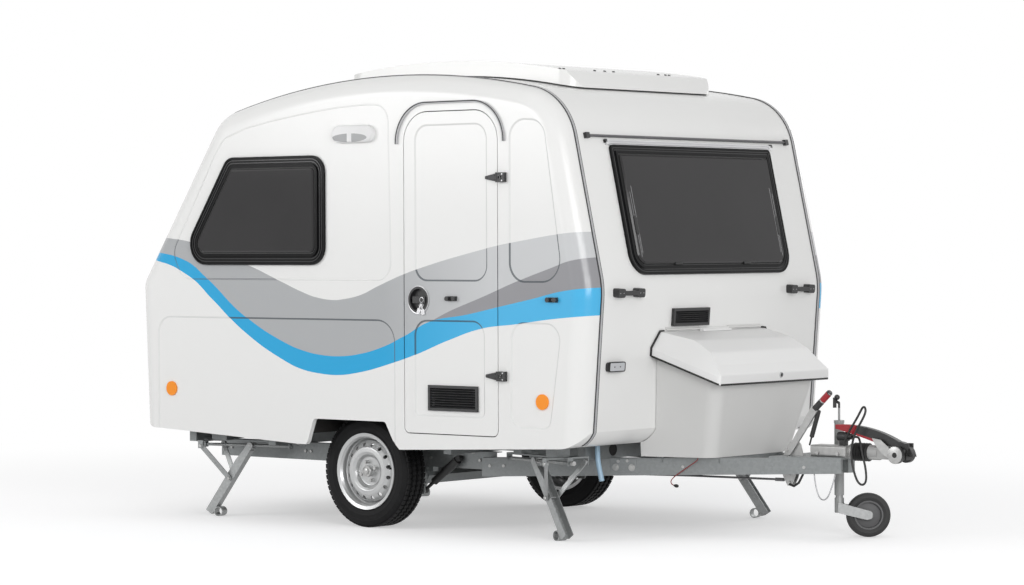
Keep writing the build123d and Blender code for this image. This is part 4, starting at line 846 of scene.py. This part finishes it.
thread_nodes = thread_tree()
ALONG_SCREW = Matrix.Rotation(math.radians(90), 4, "Y")
THREAD_START, THREAD_LONG, DRIVE_BACK = 0.012, 0.440, -0.052
PIVOT_HALF, KNEE_HALF = 0.130, 0.039            # half the width of the top pivot and of the knee
STRUT_LONG, STRUT_DROP = 0.21425, math.radians(55.94)
for corner, (x, y, turn) in STEADIES.items():
    place = Matrix.Translation((x, y, STEADY_Z)) @ Matrix.Rotation(math.radians(turn), 4, "Z")
    facing = place.to_3x3()
    seed = bpy.data.meshes.new("thread_blank")
    seed.from_pydata([(0, 0, 0)], [], [])
    thread = grown(seed, thread_nodes, {"Length": THREAD_LONG, "Finish": bright_zinc})
    thread.transform(place @ Matrix.Translation((THREAD_START, 0, 0)) @ ALONG_SCREW)
    fitted(f"steady_thread_{corner}", thread, "caravan_body", smooth=30)
    drive = [(place @ Vector((DRIVE_BACK, 0, 0)), facing @ Vector((-1, 0, 0)))]
    hex_bolts(f"steady_drive_{corner}", drive, 0.0125, 0.018)
    sideways = [facing @ Vector((0, side, 0)) for side in (-1, 1)]
    pins = [(place.translation + d * PIVOT_HALF, d) for d in sideways]
    fasteners(f"steady_pins_{corner}", pins, 0.0095, 0.005, bright_zinc, sides=14)
    knee = place @ Matrix.Rotation(STRUT_DROP, 4, "Y") @ Vector((STRUT_LONG, 0, 0))
    fasteners(f"steady_knee_pins_{corner}", [(knee + d * KNEE_HALF, d) for d in sideways], 0.0095, 0.005,
              bright_zinc, body=f"steady_leg_{corner}", sides=14)

# ---------------------------------------------------------------- suspension
# Rubber-sprung trailing arms on a hexagon tube of galvanised steel, with a black painted gas damper
# bolted on each side.
damper_black = finish("damper_black", (0.015, 0.015, 0.015), 0.45, grain=0.0003)
paint(damper_black, "shock_absorbers")
AXLE_X, AXLE_Z, TRACK_HALF = -0.610, 0.290, 0.800

# ---------------------------------------------------------------- wheels
# Pressed steel rims in silver paint on 580 mm road tyres: a ribbed sidewall, three grooves round the
# tread and rows of slanting blocks beside them.
rim_silver = finish("rim_silver", (0.50, 0.505, 0.505), 0.3, metal=0.6, mottle=0.03, grain=0.0002,
                    grain_size=0.002)
paint(rim_silver, "rim_right", "rim_left")
tyre_rubber = finish("tyre_rubber", (0.009, 0.009, 0.0095), 0.6, mottle=0.25, mottle_size=0.05, grain=0.0003,
                     grain_size=0.002, specular=0.16)
TYRE_RINGS = [  # distance from the middle of the tread, radius
    (-0.058, 0.1835), (-0.066, 0.192), (-0.070, 0.199), (-0.0722, 0.203), (-0.0722, 0.2065), (-0.0748, 0.212),
    (-0.0788, 0.224), (-0.0798, 0.2275), (-0.0788, 0.231), (-0.0792, 0.240), (-0.0776, 0.2535),
    (-0.0784, 0.2555), (-0.0772, 0.2575), (-0.0738, 0.268), (-0.0685, 0.2762), (-0.0600, 0.2815)]
GROOVE_MIDDLES, GROOVE_HALF, GROOVE_EDGE = (-0.0385, 0.0, 0.0385), 0.00375, 0.00475
TREAD_RADIUS, GROOVE_RADIUS = 0.2838, 0.2778
rings = list(TYRE_RINGS)
for middle in GROOVE_MIDDLES:
    rings += [(middle - GROOVE_EDGE, TREAD_RADIUS), (middle - GROOVE_HALF, GROOVE_RADIUS),
              (middle + GROOVE_HALF, GROOVE_RADIUS), (middle + GROOVE_EDGE, TREAD_RADIUS)]
rings += [(-a, r) for a, r in reversed(TYRE_RINGS)]
rings.append(rings[0])


def tread_tree():
    """One slanting tread block on every point of a ring, turned to face outwards, added to the carcass."""
    made, size = start_tree("tread_blocks", "Carcass", [
        ("Count", "Int", 68), ("Radius", "Float", 0.2805), ("Offset", "Float", 0.0), ("Slant", "Float", 0.2),
        ("Block", "Vector", (0.01, 0.02, 0.01))])
    block = put(made, "GeometryNodeMeshCube", {"Size": size["Block"]})
    share = maths(made, "DIVIDE", put(made, "GeometryNodeInputIndex").outputs[0], size["Count"])
    around = maths(made, "MULTIPLY", share, 2 * math.pi)
    spot = put(made, "ShaderNodeCombineXYZ", {
        "X": maths(made, "MULTIPLY", maths(made, "SINE", around), size["Radius"]), "Y": size["Offset"],
        "Z": maths(made, "MULTIPLY", maths(made, "COSINE", around), size["Radius"])})
    row = put(made, "GeometryNodePoints", {"Count": size["Count"], "Position": spot.outputs[0]})
    outwards = put(made, "ShaderNodeCombineXYZ", {"Y": around})
    scatter = put(made, "GeometryNodeInstanceOnPoints", {
        "Points": row.outputs[0], "Instance": block.outputs["Mesh"], "Rotation": outwards.outputs[0]})
    slant = put(made, "ShaderNodeCombineXYZ", {"Z": size["Slant"]})
    leaning = put(made, "GeometryNodeRotateInstances", {
        "Instances": scatter.outputs[0], "Rotation": slant.outputs[0]})
    join = put(made, "GeometryNodeJoinGeometry", {"Geometry": leaning.outputs[0]})
    made.links.new(size["Carcass"], join.inputs["Geometry"])
    return end_tree(made, size, join.outputs[0])


tread_nodes = tread_tree()
TREAD_ROWS = [  # blocks round, middle, slant, length round, width
    (68, -0.0190, 0.45, 0.0215, 0.0250), (68, 0.0190, 0.45, 0.0215, 0.0250),
    (62, -0.0535, -0.12, 0.0245, 0.0190), (62, 0.0535, -0.12, 0.0245, 0.0190)]
BLOCK_MIDDLE, BLOCK_DEEP = 0.2848, 0.0088       # radius to the middle of a tread block, and its thickness
HUB_FACE, BOLT_FACE, BOLT_RING, VALVE_RING = 0.064, 0.048, 0.050, 0.163
HUB_RINGS = [(-0.006, 0.0300), (0.004, 0.0300), (0.0055, 0.0285), (0.0055, 0.0235), (0.003, 0.0220),
             (0.003, 0.0170), (0.009, 0.0155), (0.0105, 0.0130), (0.0105, 0.0)]
VALVE_RINGS = [(0, 0.0055), (0.020, 0.0045), (0.022, 0.0052), (0.034, 0.0052), (0.035, 0.0)]
for side_name, side in (("right", -1), ("left", 1)):
    wheel = "wheel_" + side_name
    bm = bmesh.new()
    lathe(bm, rings, (0, 0, 0), (0, 1, 0), sides=96)
    carcass = meshed("tyre_carcass", bm)
    for count, offset, slant, long, wide in TREAD_ROWS:
        carcass = grown(carcass, tread_nodes, {
            "Count": count, "Radius": BLOCK_MIDDLE, "Offset": offset, "Slant": slant,
            "Block": (long, wide, BLOCK_DEEP), "Finish": tyre_rubber})
    carcass.transform(Matrix.Translation((AXLE_X, side * TRACK_HALF, AXLE_Z)))
    tyre = fitted("road_tyre_" + side_name, carcass, wheel, smooth=28)
    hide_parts("tyre_" + side_name)

    out = Vector((0, side, 0))
    bm = bmesh.new()
    lathe(bm, HUB_RINGS, (AXLE_X, side * (TRACK_HALF + HUB_FACE), AXLE_Z), out, sides=32)
    settle("hub_cap_" + side_name, bm, bright_zinc, body=wheel)
    turns = [math.radians(90 * k + 20) for k in range(4)]
    bolts = [(Vector((AXLE_X + BOLT_RING * math.cos(a), side * (TRACK_HALF + BOLT_FACE),
                      AXLE_Z + BOLT_RING * math.sin(a))), out) for a in turns]
    hex_bolts("wheel_bolts_" + side_name, bolts, 0.0105, 0.013, body=wheel, slot="cast_silver", dome=0.94)
    bm = bmesh.new()
    valve_foot = (AXLE_X + VALVE_RING, side * (TRACK_HALF + 0.030), AXLE_Z + 0.02)
    lathe(bm, VALVE_RINGS, valve_foot, (-0.25, side, 0), sides=12)
    settle("valve_" + side_name, bm, deep_black, body=wheel)

# ---------------------------------------------------------------- coupling
# A ball coupling on an overrun brake: cast head with friction pads, a rubber bellows over the shaft,
# and a black pull handle with a silver fork that opens the head.
cast_zinc = finish("cast_zinc", (0.40, 0.40, 0.395), 0.4, metal=0.6, mottle=0.1, mottle_size=0.03,
                   grain=0.0004, grain_size=0.003)
paint(cast_zinc, "overrun_unit")
soft_rubber = finish("soft_rubber", (0.014, 0.014, 0.014), 0.55, mottle=0.1, grain=0.0003, grain_size=0.002)
paint(soft_rubber, "drawbar_boot")


def two_tone(name, above, below, split):
    """A finish in two colours: split(tree, place) gives 1 where the second colour shows."""
    made = finish(name, above, 0.4, mottle=0.1, grain=0.0003, grain_size=0.0015)
    over_painted(made, below + (1,), split(made.node_tree, own_place(made)))
    return made


HANDLE_RED = (0.33, 0.014, 0.022)
PLASTIC_BLACK = (0.018, 0.018, 0.018)
RED_BEHIND, RED_UNDER_TO, NOSE_FROM = 1.835, 1.94, 2.066       # places along X
UNDER_SLOPE, UNDER_LEVEL = 0.25, 0.989                         # the handle's underside falls as it runs ahead


def handle_split(t, at):
    """Red on the thin rear end, and on the underside in the middle."""
    rear = maths(t, "LESS_THAN", at["X"], RED_BEHIND)
    level = maths(t, "ADD", at["Z"], maths(t, "MULTIPLY", at["X"], UNDER_SLOPE))
    under = maths(t, "LESS_THAN", level, UNDER_LEVEL)
    ahead = maths(t, "LESS_THAN", at["X"], RED_UNDER_TO)
    return maths(t, "MAXIMUM", rear, maths(t, "MULTIPLY", under, ahead))


def nose_split(t, at):
    """The head's nose is black; the casting behind it is plain zinc."""
    return maths(t, "GREATER_THAN", at["X"], NOSE_FROM)


paint(two_tone("head_casting", (0.34, 0.34, 0.335), PLASTIC_BLACK, nose_split), "coupling_head")
paint(two_tone("pull_handle", PLASTIC_BLACK, HANDLE_RED, handle_split), "coupling_handle")
FORK_PLATE = [(1.935, 0.512), (1.985, 0.505), (2.030, 0.470), (2.060, 0.440), (2.030, 0.415), (1.990, 0.440),
              (1.955, 0.478)]
bm = bmesh.new()
for y in (-0.0325, 0.0325):
    sheet_part(bm, FORK_PLATE, y, 0.003)
settle("handle_fork", bm, bright_zinc)
PAD_X, PAD_Y, PAD_Z = 2.082, 0.0600, 0.436
PAD_COVERS = [  # name, rings, sides, finish, slot
    ("pad_discs", [(-0.001, 0.0415), (0.0014, 0.0415), (0.0022, 0.0395), (0.0022, 0.0)], 36,
     bright_zinc, "cast_silver"),
    ("pad_plugs", [(0.0015, 0.0135), (0.0040, 0.0125), (0.0046, 0.0)], 24, deep_black, "plastic_black")]
for name, cover_rings, sides, material, slot in PAD_COVERS:
    bm = bmesh.new()
    for side in (-1, 1):
        lathe(bm, cover_rings, (PAD_X, side * PAD_Y, PAD_Z), (0, side, 0), sides=sides)
    settle(name, bm, material)
hex_bolts("coupling_bolts", [((x, side * 0.0540, 0.430), (0, side, 0))
                             for side in (-1, 1) for x in (1.632, 1.750)], 0.0095, 0.008)

# ---------------------------------------------------------------- handbrake lever
# A plated steel arm with a grip in black and red plastic, pivoted on the overrun unit and held up by
# a gas spring.
paint(bright_zinc, "brake_lever")


def sleeve(bm, start, end, radius, nose=0.004, sides=20):
    """A round sleeve between two places, its ends turned in."""
    run = Vector(end) - Vector(start)
    long = run.length
    lathe(bm, [(0, radius - nose), (nose, radius), (long - nose, radius), (long, radius - nose)], start, run,
          sides=sides)


GRIP_END, GRIP_RUN = (1.7195, -0.078, 0.7262), (0.092, 0, 0.086)
bm = bmesh.new()
sleeve(bm, (1.632, -0.078, 0.644), (1.6772, -0.078, 0.6864), 0.0162)
lathe(bm, [(-0.004, 0.0155), (0.004, 0.0150), (0.009, 0.0105), (0.009, 0.0)], GRIP_END, GRIP_RUN)
settle("lever_grip_black", bm, moulded_black)
grip_red = finish("grip_red", HANDLE_RED, 0.4, mottle=0.08, grain=0.0003, grain_size=0.0015)
bm = bmesh.new()
sleeve(bm, (1.6768, -0.078, 0.6860), (1.7190, -0.078, 0.7258), 0.0160)
settle("lever_grip_red", bm, grip_red)
bm = bmesh.new()
sleeve(bm, (1.648, -0.064, 0.640), (1.604, -0.064, 0.505), 0.0115)
sleeve(bm, (1.6042, -0.064, 0.5055), (1.592, -0.064, 0.466), 0.0045, nose=0.001, sides=12)
settle("lever_spring", bm, damper_black)

# ---------------------------------------------------------------- jockey wheel
# A plated steel tube in a clamp, a screwed inner leg with a forked rubber wheel on a plastic hub, and a
# black crank knob on top.
JOCKEY_STEEL = (0.31, 0.315, 0.315)
KNOB_FROM = 0.640


def above_grip(t, at):
    """The crank's knob and its top cap."""
    return maths(t, "GREATER_THAN", at["Z"], KNOB_FROM)


paint(two_tone("jockey_steel", JOCKEY_STEEL, (0.02, 0.02, 0.02), above_grip), "jockey_outer")
jockey_plate = finish("jockey_plate", JOCKEY_STEEL, 0.34, metal=0.65, mottle=0.08, mottle_size=0.02,
                      grain=0.0001)
paint(jockey_plate, "jockey_tube", "jockey_fork", "jockey_clamp")
hub_plastic = finish("hub_plastic", (0.09, 0.09, 0.092), 0.5, grain=0.0003)
paint(hub_plastic, "jockey_hub")
jockey_rubber = finish("jockey_rubber", (0.02, 0.02, 0.02), 0.6, mottle=0.2, mottle_size=0.03, grain=0.0004,
                       grain_size=0.002)
paint(jockey_rubber, "jockey_tyre")

# ---------------------------------------------------------------- lamps
# Moulded lenses on white or black bases: clear in front, amber at the sides, amber, red and clear behind,
# and a white awning lamp with a grey lens near the door.
amber_lens = finish("amber_lens", (0.90, 0.27, 0.0), 0.3, mottle=0.03, grain=0.0006, grain_size=0.004)
clear_lens = finish("clear_lens", (0.52, 0.53, 0.55), 0.12, mottle=0.06, grain=0.0006, grain_size=0.004)
red_lens = finish("red_lens", (0.38, 0.01, 0.01), 0.15, mottle=0.05, grain=0.0006, grain_size=0.004)
AWNING_LENS, AWNING_HALF = (-0.548, 1.999), (0.120, 0.022)      # x, z of the lens, and half its size
BAR_HALF = 0.13                                                 # the bar's half width as a share of the lens


def awning_lens(t, at):
    """The lens under the lamp's dome: an oval with a white bar across its middle."""
    across, up = [maths(t, "MULTIPLY", maths(t, "ADD", at[axis], -middle), 1 / half)
                  for axis, middle, half in zip("XZ", AWNING_LENS, AWNING_HALF)]
    oval = maths(t, "ADD", maths(t, "POWER", across, 2.0), maths(t, "POWER", up, 2.0))
    beside_bar = maths(t, "GREATER_THAN", maths(t, "ABSOLUTE", across), BAR_HALF)
    return maths(t, "MULTIPLY", maths(t, "LESS_THAN", oval, 1.0), beside_bar)


def paint_faces(name, materials, choose):
    """Several finishes on one node: choose gives the number of a face's finish from its place and facing."""
    mesh = nodes[name].data
    mesh.materials.clear()
    for material in materials:
        mesh.materials.append(material)
    for face in mesh.polygons:
        face.material_index = choose(face.center, face.normal)


WHITE_LAMP, AMBER, RED, CLEAR, BASE = range(5)
AWNING_ABOVE, BESIDE, BEHIND = 1.9, 1.02, -2.0  # where the awning, side and rear lamps begin
REAR_AMBER_ABOVE, REAR_RED_ABOVE = 0.775, 0.640


def lamp_part(place, facing):
    """The finish of a lamp's face."""
    x, y, z = place
    if z > AWNING_ABOVE:
        return WHITE_LAMP
    if abs(y) > BESIDE:
        return AMBER
    if x < BEHIND:
        return AMBER if z > REAR_AMBER_ABOVE else RED if z > REAR_RED_ABOVE else CLEAR
    return CLEAR if facing.x > 0.9 else BASE


lamp_white = two_tone("lamp_white", (0.76, 0.76, 0.76), (0.36, 0.365, 0.37), awning_lens)
paint_faces("lamps", (lamp_white, amber_lens, red_lens, clear_lens, moulded_black), lamp_part)
LAMP_Y, LAMP_HALF, LAMP_LOW, LAMP_HIGH = 0.800, 0.060, 0.838, 0.882
LAMP_CORNER, LAMP_LEAN, LAMP_OUT = 0.008, 0.0793, (1, 0, -0.08)
lens_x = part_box("lamps")[1][0] + 0.0004
bm = bmesh.new()
for side in (-1, 1):
    inner, outer = side * LAMP_Y - LAMP_HALF, side * LAMP_Y + LAMP_HALF
    edge = rounded([(inner, LAMP_LOW, LAMP_CORNER), (outer, LAMP_LOW, LAMP_CORNER),
                    (outer, LAMP_HIGH, LAMP_CORNER), (inner, LAMP_HIGH, LAMP_CORNER)], steps=5)
    swept(bm, [(lens_x + (v - LAMP_LOW) * LAMP_LEAN - 0.0035, u, v) for u, v in edge],
          strip_section(0.0022, -0.010, 0.0012), up=LAMP_OUT, closed=True)
    for u in (-0.022, 0.022):
        lathe(bm, [(0, 0.0035), (0.0012, 0.0030), (0.0012, 0.0)],
              (lens_x - 0.0015, side * LAMP_Y + u, (LAMP_LOW + LAMP_HIGH) / 2), LAMP_OUT, sides=12)
settle("front_lamp_rims", bm, deep_black)

# ---------------------------------------------------------------- awning rails
# Two drawn aluminium rails across the front wall over the window: the upper one painted dark as painted
# shade, between black plastic feet, and a slimmer bright one below it.
# painted shade: the upper rail's aluminium is painted dark
anodised_shaded = finish("anodised_shaded", (0.12, 0.12, 0.125), 0.35, metal=0.7, mottle=0.03)
BRIGHT_RAIL, SHADED_RAIL, BLACK_FOOT = range(3)
UPPER_FROM, FOOT_FROM = 1.9655, 0.8275


def rail_part(place, facing):
    """The finish of a rail's face."""
    if place.z <= UPPER_FROM:
        return BRIGHT_RAIL
    return BLACK_FOOT if abs(place.y) > FOOT_FROM else SHADED_RAIL


paint_faces("awning_rails", (anodised, anodised_shaded, moulded_black), rail_part)

# ---------------------------------------------------------------- leads and hoses
# The thick tow lead loops round the coupling to its plug, a thin breakaway cable hangs by the beam, a
# drain hose ends under the floor, and a red pair of wires carries a small connector.
cable_sheath = finish("cable_sheath", (0.014, 0.014, 0.014), 0.5, grain=0.0001, grain_size=0.002)
hose_blue = finish("hose_blue", (0.36, 0.52, 0.66), 0.35, mottle=0.08)
red_wire = finish("red_wire", (0.25, 0.03, 0.03), 0.45, grain=0.0001)
steel_cable = finish("steel_cable", (0.4, 0.4, 0.41), 0.4, metal=0.6, grain=0.0001)
bm = bmesh.new()
lathe(bm, [(0, 0.003), (0.001, 0.0055), (0.008, 0.0055), (0.009, 0.0085), (0.019, 0.0085), (0.020, 0.0065),
           (0.024, 0.0065), (0.024, 0.0)], (0.978, -0.350, 0.258), (1, 0, -0.1))
twin_plug = settle("twin_plug", bm, cable_sheath)
CORDS = [  # name, finish, diameter, length, far end, what is on it, the route's points
    ("tow_lead", cable_sheath, 0.011, 0.94, "object", "tow_plug", [
        (1.777, -0.036, 0.468), (1.777, -0.036, 0.486), (1.790, -0.036, 0.512), (1.812, -0.035, 0.552),
        (1.845, -0.032, 0.600), (1.868, -0.032, 0.638), (1.884, -0.034, 0.662), (1.902, -0.040, 0.660),
        (1.908, -0.046, 0.636), (1.890, -0.050, 0.598), (1.862, -0.052, 0.555), (1.842, -0.054, 0.510),
        (1.832, -0.056, 0.460), (1.834, -0.058, 0.410), (1.844, -0.060, 0.362), (1.860, -0.062, 0.320),
        (1.874, -0.062, 0.296), (1.892, -0.061, 0.284), (1.911, -0.060, 0.290), (1.919, -0.059, 0.311),
        (1.918, -0.058, 0.340), (1.910, -0.057, 0.384), (1.894, -0.054, 0.430), (1.880, -0.046, 0.474),
        (1.862, -0.030, 0.500), (1.842, -0.010, 0.511), (1.822, 0.0, 0.512), (1.800, 0.0, 0.512)]),
    ("breakaway_cable", steel_cable, 0.007, 0.285, "object", None, [
        (1.636, -0.088, 0.328), (1.640, -0.088, 0.290), (1.650, -0.087, 0.250), (1.660, -0.087, 0.222),
        (1.676, -0.086, 0.204), (1.698, -0.085, 0.204), (1.713, -0.080, 0.222), (1.722, -0.074, 0.250),
        (1.733, -0.064, 0.292), (1.739, -0.058, 0.3305)]),
    ("drain_hose", hose_blue, 0.026, 0.197, "bare", None, [
        (0.692, -0.600, 0.478), (0.692, -0.600, 0.410), (0.700, -0.597, 0.345), (0.714, -0.592, 0.282)]),
    ("twin_lead", red_wire, 0.005, 0.228, "connector", twin_plug, [
        (1.114, -0.334, 0.402), (1.114, -0.334, 0.391), (1.092, -0.337, 0.374), (1.056, -0.342, 0.352),
        (1.020, -0.346, 0.328), (0.984, -0.350, 0.305), (0.956, -0.350, 0.281), (0.962, -0.350, 0.262),
        (0.980, -0.350, 0.258)]),
]
for cord_name, sheath, thick, length, far_end, end_piece, route in CORDS:
    curve = bpy.data.curves.new(cord_name + "_run", "CURVE")
    curve.dimensions = "3D"
    curve.bevel_depth = thick / 2
    curve.bevel_resolution = 3
    curve.use_fill_caps = True
    curve.resolution_u = 8
    spline = curve.splines.new("NURBS")
    spline.points.add(len(route) - 1)
    for point, spot in zip(spline.points, route):
        point.co = (*spot, 1)
    spline.order_u = 3
    spline.use_endpoint_u = True
    piece = bpy.data.objects.new(cord_name + "_run", curve)
    bpy.context.scene.collection.objects.link(piece)
    curve.materials.append(sheath)
    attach(piece, "caravan_body")
    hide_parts(cord_name)
